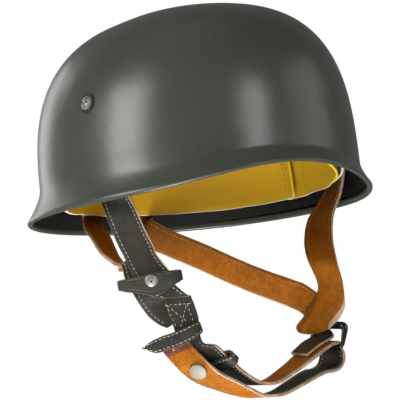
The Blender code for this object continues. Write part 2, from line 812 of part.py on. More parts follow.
def make_left_yoke(home, materials):
    """The wearer's left: the front leg with its wide foot and the rear leg behind it."""
    leather = materials["strap_leather"]
    board = Board(share_point(*LEFT_BOARD), YOKE_TURN)
    rows = wall_rows(BOLT_FRONT_ANGLE, FRONT_LEFT_DRIFT, inward=True)
    rows += open_rows(FRONT_LEFT_ROWS) + board.rows(FRONT_LEFT_BOARD)
    front = add_strap("strap_front_left", rows, home, leather)
    rows = wall_rows(BOLT_REAR_ANGLE, REAR_LEFT_DRIFT)
    rows += open_rows(REAR_LEFT_ROWS) + board.rows(REAR_LEFT_BOARD)
    rear = add_strap("strap_rear_left", rows, home, leather)
    return front, rear


def bar_middle():
    """The middle of the buckle's lower bar."""
    return share_point(BAR_SIDE, BAR_FORE, BAR_DROP)


def bar_direction():
    """The direction of the buckle's bars, towards the front."""
    return direction(BAR_SWING, BAR_TIP)


def make_chin_strap(board, home, materials):
    """The long strap: from the right yoke under the chin, round the buckle bar and back again."""
    inner = open_rows(CHIN_INNER_ROWS)
    outer = open_rows(CHIN_OUTER_ROWS)
    turned = []
    radius = BUCKLE_WIRE_RADIUS + FIT_GAP + FACET_ROOM + STRAP_WALL / 2.0
    across = bar_direction()
    side = UP.cross(across).normalized()
    rise = across.cross(side).normalized()
    for degrees in BAR_WRAP_TURNS:
        bend = math.radians(degrees)
        spot = bar_middle() + (side * math.cos(bend) + rise * math.sin(bend)) * radius
        turned.append(edges_at(spot, across))
    top = board.rows(CHIN_TOP_BOARD)
    end = board.rows(CHIN_END_BOARD)
    add_strap("chin_strap", top + inner + turned + outer + end, home, materials["strap_leather"])
    return inner, outer + end


def strap_frame(rows, place_in_rows):
    """The middle, the direction along and the face of a strap at a row, between its neighbours."""
    before = rows[place_in_rows - 1]
    here = rows[place_in_rows]
    after = rows[place_in_rows + 1]
    middle = (here[0] + here[1]) / 2.0
    along = ((after[0] + after[1]) - (before[0] + before[1])).normalized()
    across = (here[1] - here[0]).normalized()
    return middle, along, across, along.cross(across).normalized()


def make_keeper_small(inner, home, materials):
    """A narrow slide round the inner run, pushed towards the upper edge."""
    middle, along, across, face = strap_frame(inner, KEEPER_SMALL_ROW)
    add_keeper(
        "keeper_small", middle, across, face, KEEPER_SMALL_WIDTH, KEEPER_SMALL_SPAN,
        KEEPER_SMALL_ROOM, -KEEPER_SMALL_ROOM, home, materials["strap_leather"],
    )


def make_snap_cap(outer, home, materials):
    """The flat cap of a press stud on the returned end."""
    middle, along, across, face = strap_frame(outer, SNAP_CAP_ROW)
    out = face if face.y < 0.0 else -face
    seat = middle + out * (STRAP_WALL / 2.0 + FIT_GAP + FACET_ROOM)
    add_stud("snap_cap", seat, out, CAP_RADIUS, CAP_HEIGHT, home, materials["white_cap"])


def make_buckle_guard(inner, home, materials):
    """The tongue on the inner side of the chin strap, from its free tip up behind the front leg's foot."""
    rows = []
    for place_in_rows in range(GUARD_FIRST_ROW, len(inner) - 1):
        middle, along, across, face = strap_frame(inner, place_in_rows)
        lift = face * (-GUARD_LIFT)
        far = inner[place_in_rows][0] + lift
        near = inner[place_in_rows][1] + lift
        rows.append((far, far.lerp(near, GUARD_SHARE)))
    for side, fore, drop, swing, tip in GUARD_TOP_ROWS:
        middle = share_point(side, fore, drop)
        rows.append(edges_at(middle, direction(swing, tip), STRAP_WIDTH * GUARD_SHARE))
    add_strap("buckle_guard", rows, home, materials["strap_leather"])


def make_buckle(home, materials):
    """A black wire slide: a rounded rectangle whose lower bar carries the chin strap."""
    across = bar_direction()
    lean = direction(BUCKLE_LEAN_SWING, BUCKLE_LEAN_TIP)
    upward = (lean - across * lean.dot(across)).normalized()
    half_span = STRAP_WIDTH / 2.0 + BUCKLE_SIDE_ROOM + BUCKLE_WIRE_RADIUS
    centre = bar_middle() + upward * BUCKLE_HEIGHT / 2.0
    points = []
    for turn, side, rise in ((0, 1, 1), (90, -1, 1), (180, -1, -1), (270, 1, -1)):
        corner = centre + across * side * (half_span - BUCKLE_CORNER)
        corner = corner + upward * rise * (BUCKLE_HEIGHT / 2.0 - BUCKLE_CORNER)
        for step in (0, 30, 60, 90):
            bend = math.radians(turn + step)
            points.append(corner + (across * math.cos(bend) + upward * math.sin(bend)) * BUCKLE_CORNER)
    curve = bpy.data.curves.new("buckle", "CURVE")
    curve.dimensions = "3D"
    spline = curve.splines.new("POLY")
    spline.points.add(len(points) - 1)
    for knot, point in zip(spline.points, points):
        knot.co = (*point, 1.0)
    spline.use_cyclic_u = True
    curve.bevel_depth = BUCKLE_WIRE_RADIUS
    curve.bevel_resolution = 2
    buckle = bpy.data.objects.new("buckle", curve)
    home.objects.link(buckle)
    buckle.data.materials.append(materials["black_steel"])


def main():
    clear_scene()
    home = new_collection("paratrooper_helmet")
    cutters = new_collection("cutters")
    materials = make_materials()
    shell = make_shell(home, materials["field_grey_steel"])
    make_liner(home, materials["yellow_leather"])
    band = make_band(home, materials["pale_band"])
    right, front_right, rear_right = make_right_yoke(home, materials)
    front_left, rear_left = make_left_yoke(home, materials)
    bolts = (
        ("bolt_front_right", -BOLT_FRONT_ANGLE, front_right),
        ("bolt_front_left", BOLT_FRONT_ANGLE, front_left),
        ("bolt_rear_right", -BOLT_REAR_ANGLE, rear_right),
        ("bolt_rear_left", BOLT_REAR_ANGLE, rear_left),
    )
    for name, angle, strap in bolts:
        bore = make_bolt(name, angle, home, cutters, materials["bolt_steel"])
        for pierced in (shell, band, strap):
            cut(pierced, [bore])
    inner, outer = make_chin_strap(right, home, materials)
    make_keeper_small(inner, home, materials)
    make_snap_cap(outer, home, materials)
    make_buckle_guard(inner, home, materials)
    make_buckle(home, materials)


main()
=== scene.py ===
"""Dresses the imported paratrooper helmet: painted shell, leather liner, stitched straps, fittings and stage.

Metres, +Z up. The front points along -Y and the wearer's left along +X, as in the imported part.
"""

import math

import bmesh
import bpy
import numpy as np
from bpy.props import FloatProperty, FloatVectorProperty, IntProperty, PointerProperty
from bpy.types import Operator, Panel, PropertyGroup
from mathutils import Matrix, Vector, noise


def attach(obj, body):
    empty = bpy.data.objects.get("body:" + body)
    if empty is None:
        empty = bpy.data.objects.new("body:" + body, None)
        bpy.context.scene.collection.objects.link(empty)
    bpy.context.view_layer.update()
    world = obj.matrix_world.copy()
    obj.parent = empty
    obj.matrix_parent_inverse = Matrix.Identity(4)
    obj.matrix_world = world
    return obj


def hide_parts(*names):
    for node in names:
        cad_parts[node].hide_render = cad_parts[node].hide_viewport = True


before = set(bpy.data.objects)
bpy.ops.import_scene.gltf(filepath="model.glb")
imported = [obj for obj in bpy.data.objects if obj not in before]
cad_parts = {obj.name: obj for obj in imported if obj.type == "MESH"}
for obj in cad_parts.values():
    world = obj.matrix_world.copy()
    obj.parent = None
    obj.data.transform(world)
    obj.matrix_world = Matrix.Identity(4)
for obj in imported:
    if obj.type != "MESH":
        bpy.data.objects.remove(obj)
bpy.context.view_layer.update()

bl_info = {
    "name": "Paratrooper helmet",
    "version": (1, 0, 0),
    "blender": (4, 5, 0),
    "location": "View3D > Sidebar > Helmet",
    "description": "Painted shell, leather liner, stitched straps, fittings and stage for the packed helmet",
    "category": "Add Mesh",
}

# Shell, as in the part's source
RIM_HALF_WIDTH = 0.1225
RIM_HALF_FRONT = 0.1330
RIM_HALF_BACK = 0.1430
DOME_HALF_WIDTH = 0.1150
DOME_HALF_FRONT = 0.1255
DOME_HALF_BACK = 0.1220
DOME_HEIGHT = 0.1480
DOME_LEAN = 0.0065
FLARE_HEIGHT = 0.0250
BROW_FLARE_HEIGHT = 0.0145
BROW_RISE = 0.0165
BROW_SPREAD = math.radians(36.0)
SHELL_WALL = 0.0012
HEM_RADIUS = 0.0021
HEM_LEG = 0.0030
PLAN_POWER = 2.1
SIDE_POWER = 2.66
BROW_POWER = 3.65
FLARE_POWER = 1.5

# Liner
LINER_WALL = 0.0020
LINER_EDGE_HEIGHT = 0.0112
LINER_EDGE_RISE = 0.0150
LINER_EDGE_SPREAD = math.radians(52.0)
LINER_SIDE_INSET = 0.0147
LINER_FRONT_INSET = 0.0215
LINER_BACK_INSET = 0.0110
LINER_CROWN_DROP = 0.0340
LINER_CLIMB_POWER = 0.80
LINER_ROUND_POWER = 0.62
LINER_SEAM = math.radians(96.0)
LINER_LAP = math.radians(7.0)
BAND_WALL = 0.0012
BAND_EDGE_LIFT = 0.0020
BAND_FRONT_STANDOFF = 0.0090
BAND_ABOVE_BOLTS = 0.0100
BAND_BLEND_POWER = 0.5

# Bolts
BOLT_HEIGHT = 0.0740
BOLT_FRONT_ANGLE = math.radians(74.0)
BOLT_REAR_ANGLE = math.radians(166.0)
BOLT_FLANGE_RADIUS = 0.0073
BOLT_FLANGE_HEIGHT = 0.0009
BOLT_DOME_RADIUS = 0.0052
BOLT_DOME_HEIGHT = 0.0018
BOLT_SHANK_RADIUS = 0.0022
BOLT_NUT_RADIUS = 0.0050
BOLT_NUT_HEIGHT = 0.0012
SPANNER_HOLE_RADIUS = 0.0009
SPANNER_HOLE_SPACING = 0.0046
SPANNER_HOLE_DEPTH = 0.0010

# Straps and loops
STRAP_WIDTH = 0.0220
STRAP_WALL = 0.0022
CHIN_DROP = 0.1320
YOKE_TURN = math.radians(-34.0)
YOKE_LENGTH = 0.0435
KEEPER_UPPER_SPAN = 0.0435
KEEPER_LOWER_SPAN = 0.0400
KEEPER_FLAP = 0.0020
KEEPER_WIDTH = 0.0095
KEEPER_SMALL_WIDTH = 0.0105
KEEPER_SMALL_SPAN = 0.0300
GUARD_SHARE = 0.80
GUARD_LIFT = 0.0034
KEEPER_UPPER_LEAN = math.radians(2.0)
KEEPER_LOWER_LEAN = math.radians(10.0)
STUD_RADIUS = 0.0048
STUD_HEIGHT = 0.0022
CAP_RADIUS = 0.0062
CAP_HEIGHT = 0.0012
WALL_SHARES = (0.0, 0.35, 0.7, 1.0)
FRONT_RIGHT_DRIFT = math.radians(3.0)
REAR_RIGHT_DRIFT = math.radians(-4.0)
FRONT_LEFT_DRIFT = math.radians(1.0)
REAR_LEFT_DRIFT = math.radians(6.0)

# Buckle
BUCKLE_HEIGHT = 0.0165
BUCKLE_WIRE_RADIUS = 0.0016
BUCKLE_SIDE_ROOM = 0.0010
BUCKLE_CORNER = 0.0035
BUCKLE_LEAN_SWING = 100.0
BUCKLE_LEAN_TIP = 76.0
BAR_PLACE = (0.622, 0.325, 0.822)
BAR_SWING = 20.0
BAR_TIP = -7.0
BAR_WRAP_TURNS = (125.0, 85.0, 45.0, 5.0)

# Fits
FIT_GAP = 0.0003
FACET_ROOM = 0.0006
PROBE_RISE = 0.002
PROBE_TURN = 0.02

# Fine leather work, which the part's source leaves out
EDGE_ROUND = 0.0004
GROOVES = ((0.0012, 0.0), (0.0021, 0.00004), (0.0027, 0.00020), (0.0033, 0.00004), (0.0042, 0.0))
NARROW_HALF = 0.0085
STITCH_INSET = 0.0027
KEEPER_STITCH_INSET = 0.0024
KEEPER_WIDER = 0.0008
STRAP_WANDER = 0.00016
RED_END_LENGTH = 0.0135
SEAM_CURL = 0.0028
KEEPER_UPPER_DEEPEN = 0.0046
KEEPER_UPPER_TILT = math.radians(3.5)
KEEPER_UPPER_SAG = 0.0022
KEEPER_LOWER_SAG = 0.0026
KEEPER_LIP = 0.0022
KEEPER_LOWER_TILT = math.radians(5.0)
KEEPER_SMALL_SNUG = 0.0027
BUCKLE_ROLLER_RADIUS = 0.0029
SEAM_STITCH_TURNS = (0.068, 0.105)

# Rows and columns of the liner, the band and the keepers
LINER_ROWS = 36
LINER_COLUMNS = 100
LINER_WAVER = 0.0009
LINER_EDGE_WAVER = 0.0008
BAND_ROWS = 26
BAND_COLUMNS = 144
LOOP_END_STEPS = 16
LOOP_SIDE_STEPS = 20
WIRE_STEPS = 16

# Soft lights: name, swing and tip in degrees, distance, width and height in metres, power in watts
SOFT_LIGHTS = (
    ("tall_softbox", (-92.0, 19.0), 1.2, (0.52, 0.62), 10.0),
    ("front_softbox", (5.0, 16.0), 1.2, (0.36, 0.32), 2.5),
    ("rear_strip", (-172.0, 12.0), 1.3, (0.5, 1.0), 3.6),
    ("side_softbox", (52.0, 12.0), 1.3, (0.7, 0.8), 2.4),
    ("top_softbox", (-60.0, 75.0), 1.3, (0.9, 0.9), 0.4),
    ("low_fill", (-40.0, -38.0), 1.1, (0.9, 0.6), 6.0),
    ("inner_fill", (-62.0, -66.0), 0.9, (0.35, 0.35), 8.0),
)

# Metals and enamels: name, colour, roughness, metallic, mottle
METALS = (
    ("pale_band_enamel", (0.80, 0.79, 0.74), 0.55, 0.0, 0.06),
    ("bolt_head_steel", (0.17, 0.185, 0.160), 0.36, 0.35, 0.25),
    ("bolt_flange_steel", (0.030, 0.032, 0.028), 0.42, 0.3, 0.25),
    ("black_wire_enamel", (0.010, 0.010, 0.010), 0.20, 0.0, 0.35),
    ("press_stud_nickel", (0.24, 0.23, 0.19), 0.38, 0.6, 0.25),
    ("white_cap_enamel", (0.21, 0.19, 0.155), 0.42, 0.0, 0.07),
)

# Worked out from the sizes above
HALF_LENGTH = (RIM_HALF_FRONT + RIM_HALF_BACK) / 2.0
RIM_LEVEL = -(DOME_HEIGHT - LINER_CROWN_DROP - 1.5 * LINER_WALL)
LAYER = STRAP_WALL + FIT_GAP
STRAP_BOW = STRAP_WIDTH ** 2 / (8.0 * DOME_HALF_WIDTH)
STRAP_DEPTH = SHELL_WALL + FIT_GAP + FACET_ROOM + STRAP_BOW + STRAP_WALL / 2.0
BAND_DEPTH = STRAP_DEPTH + STRAP_WALL / 2.0 + FIT_GAP + BAND_WALL / 2.0
NUT_DEPTH = BAND_DEPTH + BAND_WALL / 2.0 + FIT_GAP + FACET_ROOM
BAND_TOP = BOLT_HEIGHT + BAND_ABOVE_BOLTS
KEEPER_FRONT = LAYER
KEEPER_BACK = -2.0 * LAYER
UP = Vector((0.0, 0.0, 1.0))

# Straps in the open: side, fore and drop shares, then the swing and tip of the direction across, in degrees
FRONT_RIGHT_ROWS = (
    (-0.861, 0.304, -0.015, 34, 4),
    (-0.843, 0.333, 0.076, 48, 12),
    (-0.817, 0.355, 0.174, 54, 18),
    (-0.783, 0.378, 0.270, 56, 18),
)
REAR_RIGHT_ROWS = (
    (-0.245, -0.800, -0.040, -80, 0),
    (-0.409, -0.500, 0.083, -74, 0),
    (-0.530, -0.254, 0.205, -64, 0),
    (-0.687, 0.072, 0.310, -44, 2),
    (-0.780, 0.240, 0.320, 2, 14),
)
REAR_LEFT_ROWS = (
    (0.165, -0.835, -0.050, 254, -20),
    (0.139, -0.761, 0.016, 208, -52),
    (0.235, -0.652, 0.098, 182, -53),
    (0.348, -0.471, 0.205, 180, -53),
    (0.472, -0.199, 0.358, 176, -54),
    (0.490, 0.187, 0.500, 172, -58),
)
FRONT_LEFT_ROWS = (
    (0.900, 0.190, -0.060, 4, 1),
    (0.850, 0.130, 0.060, 28, 4),
    (0.803, 0.142, 0.191, 50, 2),
)

# The chin strap below the yoke: the inner run up to the buckle, then the returned outer run
CHIN_INNER_ROWS = (
    (-0.490, 0.515, 0.822, 44, 18),
    (-0.385, 0.510, 0.882, 20, 10),
    (-0.262, 0.508, 0.948, 4, 2),
    (-0.135, 0.505, 1.000, 0, -2),
    (0.000, 0.502, 1.003, -3, -5),
    (0.142, 0.494, 0.951, -2, -7),
    (0.301, 0.459, 0.887, 4, -8),
    (0.448, 0.408, 0.832, 12, -8),
    (0.540, 0.370, 0.806, 18, -7),
)
CHIN_OUTER_ROWS = (
    (0.655, 0.329, 0.855, 20, -7),
    (0.652, 0.331, 0.895, 20, -7),
    (0.612, 0.340, 0.935, 19, -7),
    (0.520, 0.380, 0.955, 16, -7),
    (0.405, 0.429, 0.964, 10, -7),
    (0.214, 0.484, 1.015, 2, -7),
    (0.040, 0.512, 1.066, -3, -5),
    (-0.110, 0.515, 1.074, 0, -2),
    (-0.225, 0.515, 1.044, 6, 4),
    (-0.340, 0.520, 1.005, 14, 8),
    (-0.440, 0.520, 0.970, 20, 10),
    (-0.535, 0.520, 0.918, 30, 10),
)
GUARD_TOP_ROWS = (
    (0.580, 0.345, 0.765, 24, -5),
    (0.600, 0.300, 0.728, 32, -3),
)
GUARD_FIRST_ROW = 6
KEEPER_SMALL_ROW = 1
SNAP_CAP_ROW = 11

# Yoke boards: their middles as side, fore and drop shares, and the small pieces on the right one
RIGHT_BOARD = (-0.748, 0.413, 0.417)
LEFT_BOARD = (0.618, 0.388, 0.599)
KEEPER_UPPER_SPOT = (0.0, 0.02, 0.0)
KEEPER_LOWER_SPOT = (0.58, 0.95, 0.0)
STUD_SPOT = (0.05, 0.04, 1.0)
STUD_TIP = math.radians(-14.0)
STUD_PIT_RADIUS = 0.0009
STUD_PIT_DEPTH = 0.0008

# A strap's left and right edges on a board: shares across and down, and the layer, for each edge
FRONT_RIGHT_BOARD = (
    (-0.58, -0.15, 0.0, 0.25, -0.42, 0.0),
    (-0.40, 0.01, 0.0, 0.44, -0.26, 0.0),
    (-0.20, 0.15, 0.0, 0.66, -0.08, 0.0),
    (-0.02, 0.27, 0.0, 0.80, 0.13, 0.0),
    (0.33, 0.33, 0.0, 1.20, 0.33, 0.0),
)
REAR_RIGHT_BOARD = (
    (-0.86, -0.24, -1.0, -0.30, -0.46, -2.6),
    (-0.80, -0.06, -1.0, -0.10, -0.30, -1.4),
    (-0.68, 0.10, -1.0, 0.06, -0.14, -1.0),
    (-0.53, 0.26, -1.0, 0.28, 0.02, -1.0),
    (-0.38, 0.40, -1.5, 0.44, 0.14, -1.05),
    (-0.24, 0.52, -2.05, 0.60, 0.24, -1.9),
    (-0.08, 0.63, -2.05, 0.76, 0.34, -2.05),
    (0.18, 0.74, -2.05, 0.94, 0.50, -2.05),
    (0.42, 0.80, -2.05, 1.06, 0.62, -2.05),
)
CHIN_TOP_BOARD = (
    (0.36, 0.34, -1.0, 1.24, 0.31, -1.0),
    (0.48, 0.54, -1.0, 1.34, 0.48, -1.0),
    (0.60, 0.76, -1.0, 1.43, 0.68, -1.0),
    (0.72, 1.01, -1.0, 1.43, 0.92, -1.0),
    (0.88, 1.17, -1.0, 1.54, 1.09, -1.0),
)
CHIN_END_BOARD = (
    (0.30, 1.24, 0.0, 1.14, 1.10, 0.0),
    (0.20, 1.11, 0.0, 1.04, 0.95, 0.0),
    (0.12, 1.00, 0.0, 0.96, 0.85, 0.0),
)
FRONT_LEFT_BOARD = (
    (-0.61, -0.85, 0.0, 0.38, -0.80, 0.0),
    (-0.35, -0.43, 0.0, 0.50, -0.43, 0.0),
    (-0.40, -0.22, 0.0, 0.53, -0.12, 0.0),
    (-0.62, -0.04, 0.0, 0.50, 0.04, 0.0),
    (-0.95, 0.16, 0.0, 0.38, 0.16, 0.0),
    (-1.18, 0.30, 0.0, 0.20, 0.27, 0.0),
    (-1.10, 0.41, 0.0, -0.08, 0.38, 0.0),
    (-0.80, 0.45, 0.0, -0.40, 0.44, 0.0),
)
REAR_LEFT_BOARD = (
    (-0.76, -0.42, -2.0, -1.01, 0.05, -2.0),
    (-0.30, -0.22, -1.2, -0.58, 0.27, -1.2),
    (0.05, -0.08, -1.0, -0.20, 0.36, -1.0),
)

# Cross stitching below the upper keeper: lines on the chin strap's outer face, as board shares
CROSS_STITCHING = (
    ((0.45, 0.44), (1.17, 0.44)),
    ((0.45, 0.44), (0.68, 0.76)),
    ((1.12, 0.46), (1.24, 0.70)),
    ((0.50, 0.46), (1.00, 0.70)),
    ((1.06, 0.49), (0.86, 0.78)),
)


class HelmetPaintSettings(PropertyGroup):
    """Paint on the steel shell."""

    colour: FloatVectorProperty(
        name="Paint colour", description="Field grey-green of the outer face", subtype="COLOR",
        min=0.0, max=1.0, default=(0.047, 0.051, 0.039),
    )
    # Painted shade: the inner face gets a near-black colour, far darker than the outer paint.
    inside_shade_colour: FloatVectorProperty(
        name="Inside colour", description="Near-black painted shade on the inner face", subtype="COLOR",
        min=0.0, max=1.0, default=(0.003, 0.003, 0.0024),
    )
    roughness: FloatProperty(
        name="Satin", description="Roughness of the paint", subtype="FACTOR", min=0.0, max=1.0, default=0.31,
    )
    peel_depth: FloatProperty(
        name="Orange peel", description="Depth of the paint's ripple", unit="LENGTH", default=0.00003,
    )


class HelmetLeatherSettings(PropertyGroup):
    """Leather, cut edges and thread."""

    liner_colour: FloatVectorProperty(
        name="Liner colour", description="Dyed yellow leather", subtype="COLOR",
        min=0.0, max=1.0, default=(0.95, 0.73, 0.002),
    )
    grain_colour: FloatVectorProperty(
        name="Grain colour", description="Olive-black outer face of the straps", subtype="COLOR",
        min=0.0, max=1.0, default=(0.022, 0.020, 0.012),
    )
    suede_colour: FloatVectorProperty(
        name="Suede colour", description="Tan inner face of the straps", subtype="COLOR",
        min=0.0, max=1.0, default=(0.33, 0.094, 0.003),
    )
    edge_colour: FloatVectorProperty(
        name="Cut edge colour", description="Raw edge of the straps", subtype="COLOR",
        min=0.0, max=1.0, default=(0.62, 0.45, 0.31),
    )
    thread_colour: FloatVectorProperty(
        name="Thread colour", description="Stitching", subtype="COLOR",
        min=0.0, max=1.0, default=(0.52, 0.49, 0.39),
    )
    stitch_pitch: FloatProperty(
        name="Stitch pitch", description="Distance from stitch to stitch", unit="LENGTH", default=0.0031,
    )
    stitch_length: FloatProperty(
        name="Stitch length", description="Visible length of a stitch", unit="LENGTH", default=0.0022,
    )
    thread_radius: FloatProperty(
        name="Thread radius", description="Half thickness of the thread", unit="LENGTH", default=0.00028,
    )


class HelmetFinenessSettings(PropertyGroup):
    """How finely the surfaces are divided."""

    around: IntProperty(name="Steps around", description="Columns round the shell", default=168)
    dome_rows: IntProperty(name="Dome rows", description="Rows from crease to crown", default=44)
    flare_rows: IntProperty(name="Flare rows", description="Rows of the flare", default=10)
    turned_steps: IntProperty(name="Turned steps", description="Steps round turned pieces", default=48)
    strap_step: FloatProperty(
        name="Strap step", description="Distance between strap rows", unit="LENGTH", default=0.0013,
    )


class HelmetStageSettings(PropertyGroup):
    """Floor and camera."""

    floor_level: FloatProperty(
        name="Floor level", description="Height of the floor, far below the straps", unit="LENGTH",
        default=-1.25,
    )
    camera_swing: FloatProperty(
        name="Camera swing", description="Turn round the helmet from the front", subtype="ANGLE",
        default=math.radians(-34.0),
    )
    camera_tip: FloatProperty(
        name="Camera tip", description="Height angle of the camera", subtype="ANGLE",
        default=math.radians(-6.4),
    )
    camera_roll: FloatProperty(
        name="Camera roll", description="Roll of the camera", subtype="ANGLE", default=math.radians(4.85),
    )
    camera_distance: FloatProperty(
        name="Camera distance", description="From the rim's middle to the camera", unit="LENGTH", default=1.5,
    )
    lens: FloatProperty(name="Lens", description="Focal length in millimetres", default=180.9)
    shift_x: FloatProperty(name="Shift across", description="Camera shift across", default=-0.0025)
    shift_y: FloatProperty(name="Shift up", description="Camera shift up", default=0.0278)


def settings(name):
    """A group of the scene's settings."""
    return getattr(bpy.context.scene, name)


def place(x, y, height):
    """A point at a height above the rim plane."""
    return Vector((x, y, RIM_LEVEL + height))


def share_point(side, fore, drop):
    """A point from its shares of the half width, the half length and the chin drop."""
    return place(side * DOME_HALF_WIDTH, -fore * HALF_LENGTH, -drop * CHIN_DROP)


def direction(swing, tip):
    """A unit vector from its swing away from the front and its tip upwards, in degrees."""
    turn = math.radians(swing)
    rise = math.radians(tip)
    return Vector((math.sin(turn) * math.cos(rise), -math.cos(turn) * math.cos(rise), math.sin(rise)))


def frontness(angle):
    """1 at the brow and 0 from the sides backwards."""
    return max(0.0, math.cos(angle)) ** 2


def bell(angle, spread):
    """A smooth bump round the brow."""
    turned = (angle + math.pi) % (2.0 * math.pi) - math.pi
    return math.exp(-((turned / spread) ** 2))


def plan(angle, half_width, half_front, half_back):
    """The x and y of a rounded oval; the angle runs from the front towards the wearer's left."""
    half_length = half_front if math.cos(angle) >= 0.0 else half_back
    along = abs(math.cos(angle) / half_length) ** PLAN_POWER
    across = abs(math.sin(angle) / half_width) ** PLAN_POWER
    radius = (along + across) ** (-1.0 / PLAN_POWER)
    return radius * math.sin(angle), -radius * math.cos(angle)


def rim_height(angle):
    """The height of the rim's edge, which arches over the brow."""
    return BROW_RISE * bell(angle, BROW_SPREAD)


def crease_height(angle):
    """The height at which the wall turns out into the flare."""
    flare = FLARE_HEIGHT - (FLARE_HEIGHT - BROW_FLARE_HEIGHT) * frontness(angle)
    return rim_height(angle) + flare


def dome_scale(angle, height):
    """The share of the crease's half sizes that is left at a height, and the share of the climb."""
    base = crease_height(angle)
    climb = min(1.0, max(0.0, (height - base) / (DOME_HEIGHT - base)))
    power = SIDE_POWER + (BROW_POWER - SIDE_POWER) * frontness(angle)
    return (1.0 - climb ** power) ** (1.0 / power), climb


def wall_point(angle, height):
    """A point of the shell's outer face."""
    scale, climb = dome_scale(angle, height)
    x, y = plan(angle, DOME_HALF_WIDTH * scale, DOME_HALF_FRONT * scale, DOME_HALF_BACK * scale)
    return place(x, y + DOME_LEAN * climb, height)


def wall_normal(angle, height):
    """The outward direction of the shell's wall."""
    along = wall_point(angle + PROBE_TURN, height) - wall_point(angle - PROBE_TURN, height)
    rise = wall_point(angle, height + PROBE_RISE) - wall_point(angle, height - PROBE_RISE)
    return along.cross(rise).normalized()


def inside_wall(angle, height, depth):
    """A point at a true depth inside the shell's outer face."""
    return wall_point(angle, height) - wall_normal(angle, height) * depth


def dome_ring(angles, share):
    """A ring of the dome at a share of the quarter turn from crease to crown."""
    ring = []
    for angle in angles:
        power = SIDE_POWER + (BROW_POWER - SIDE_POWER) * frontness(angle)
        turn = share * math.pi / 2.0
        climb = math.sin(turn) ** (2.0 / power)
        scale = math.cos(turn) ** (2.0 / power)
        base = crease_height(angle)
        x, y = plan(angle, DOME_HALF_WIDTH * scale, DOME_HALF_FRONT * scale, DOME_HALF_BACK * scale)
        ring.append(place(x, y + DOME_LEAN * climb, base + (DOME_HEIGHT - base) * climb))
    return ring


def flare_point(angle, share):
    """A point of the flare's outer face, from the rim's edge at 0 to the crease at 1."""
    outer = plan(angle, RIM_HALF_WIDTH, RIM_HALF_FRONT, RIM_HALF_BACK)
    inner = plan(angle, DOME_HALF_WIDTH, DOME_HALF_FRONT, DOME_HALF_BACK)
    low = rim_height(angle) + HEM_RADIUS
    blend = (1.0 - share) ** FLARE_POWER
    x = inner[0] + (outer[0] - inner[0]) * blend
    y = inner[1] + (outer[1] - inner[1]) * blend
    return place(x, y, low + (crease_height(angle) - low) * share)


def hem_point(angle, turn, leg):
    """A point of the hem's outer face; the turn runs under the edge and up its inner leg."""
    edge = flare_point(angle, 0.0)
    inward = -Vector((math.sin(angle), -math.cos(angle), 0.0))
    roll = math.radians(turn)
    middle = edge + inward * HEM_RADIUS
    return middle - inward * HEM_RADIUS * math.cos(roll) + UP * (HEM_RADIUS * math.sin(roll) + leg)


def liner_edge_height(angle):
    """The height of the leather's lower edge, which rises over the brow."""
    return LINER_EDGE_HEIGHT + LINER_EDGE_RISE * bell(angle, LINER_EDGE_SPREAD)


def liner_point(angle, share, depth):
    """A point of the leather's middle face, from its edge over the crown."""
    low = liner_edge_height(angle)
    crown = DOME_HEIGHT - LINER_CROWN_DROP
    turn = share * math.pi / 2.0
    climb = math.sin(turn) ** LINER_CLIMB_POWER
    scale = math.cos(turn) ** LINER_ROUND_POWER
    height = low + (crown - low) * climb
    edge = plan(
        angle,
        DOME_HALF_WIDTH - LINER_SIDE_INSET - depth,
        DOME_HALF_FRONT - LINER_FRONT_INSET - depth,
        DOME_HALF_BACK - LINER_BACK_INSET - depth,
    )
    return place(edge[0] * scale, edge[1] * scale + DOME_LEAN * climb, height - depth * climb)


def band_point(angle, share):
    """A point of the carrier band's middle face, from its lower edge at 0 to its top at 1."""
    low = liner_edge_height(angle) + BAND_EDGE_LIFT
    height = low + (BAND_TOP - low) * share
    clamped = (BOLT_HEIGHT - BAND_ABOVE_BOLTS - low) / (BAND_TOP - low)
    blend = min(1.0, share / clamped) ** BAND_BLEND_POWER
    standoff = LINER_WALL / 2.0 + FIT_GAP + BAND_WALL / 2.0
    x, y = plan(
        angle,
        DOME_HALF_WIDTH - LINER_SIDE_INSET + standoff,
        DOME_HALF_FRONT - LINER_FRONT_INSET + BAND_FRONT_STANDOFF * frontness(angle) + standoff,
        DOME_HALF_BACK - LINER_BACK_INSET + standoff,
    )
    return place(x, y, height).lerp(inside_wall(angle, height, BAND_DEPTH), blend)


def edges_at(middle, across, width=STRAP_WIDTH):
    """The two edge points of a strap's row."""
    return middle - across * width / 2.0, middle + across * width / 2.0


def open_rows(table):
    """The rows of a strap in the open."""
    return [edges_at(share_point(*row[:3]), direction(*row[3:])) for row in table]


def wall_rows(angle, drift, inward=False):
    """The rows of a strap between the shell and the band, from the band's top down to the crease."""
    drop = BOLT_HEIGHT - FLARE_HEIGHT
    rows = []
    for share in (-BAND_ABOVE_BOLTS / drop, *WALL_SHARES):
        turn = angle + drift * max(0.0, share)
        height = BOLT_HEIGHT - drop * share
        across = UP.cross(wall_normal(turn, height)).normalized()
        rows.append(edges_at(inside_wall(turn, height, STRAP_DEPTH), -across if inward else across))
    return rows


class Board:
    """A flat place where straps lie on each other: across, down and outwards in layers."""

    def __init__(self, middle):
        self.middle = middle
        self.across = Vector((math.cos(YOKE_TURN), math.sin(YOKE_TURN), 0.0))
        self.face = Vector((math.sin(YOKE_TURN), -math.cos(YOKE_TURN), 0.0))

    def point(self, across, down, layer):
        """A point from shares of the strap width and the yoke length, and a layer."""
        spot = self.middle + self.across * across * STRAP_WIDTH - UP * down * YOKE_LENGTH
        return spot + self.face * layer * LAYER

    def leaning(self, lean):
        """The direction across the board, tipped upwards by an angle."""
        return self.across * math.cos(lean) + UP * math.sin(lean)

    def rows(self, table):
        """Edge points from a table of board rows."""
        return [(self.point(*row[:3]), self.point(*row[3:])) for row in table]


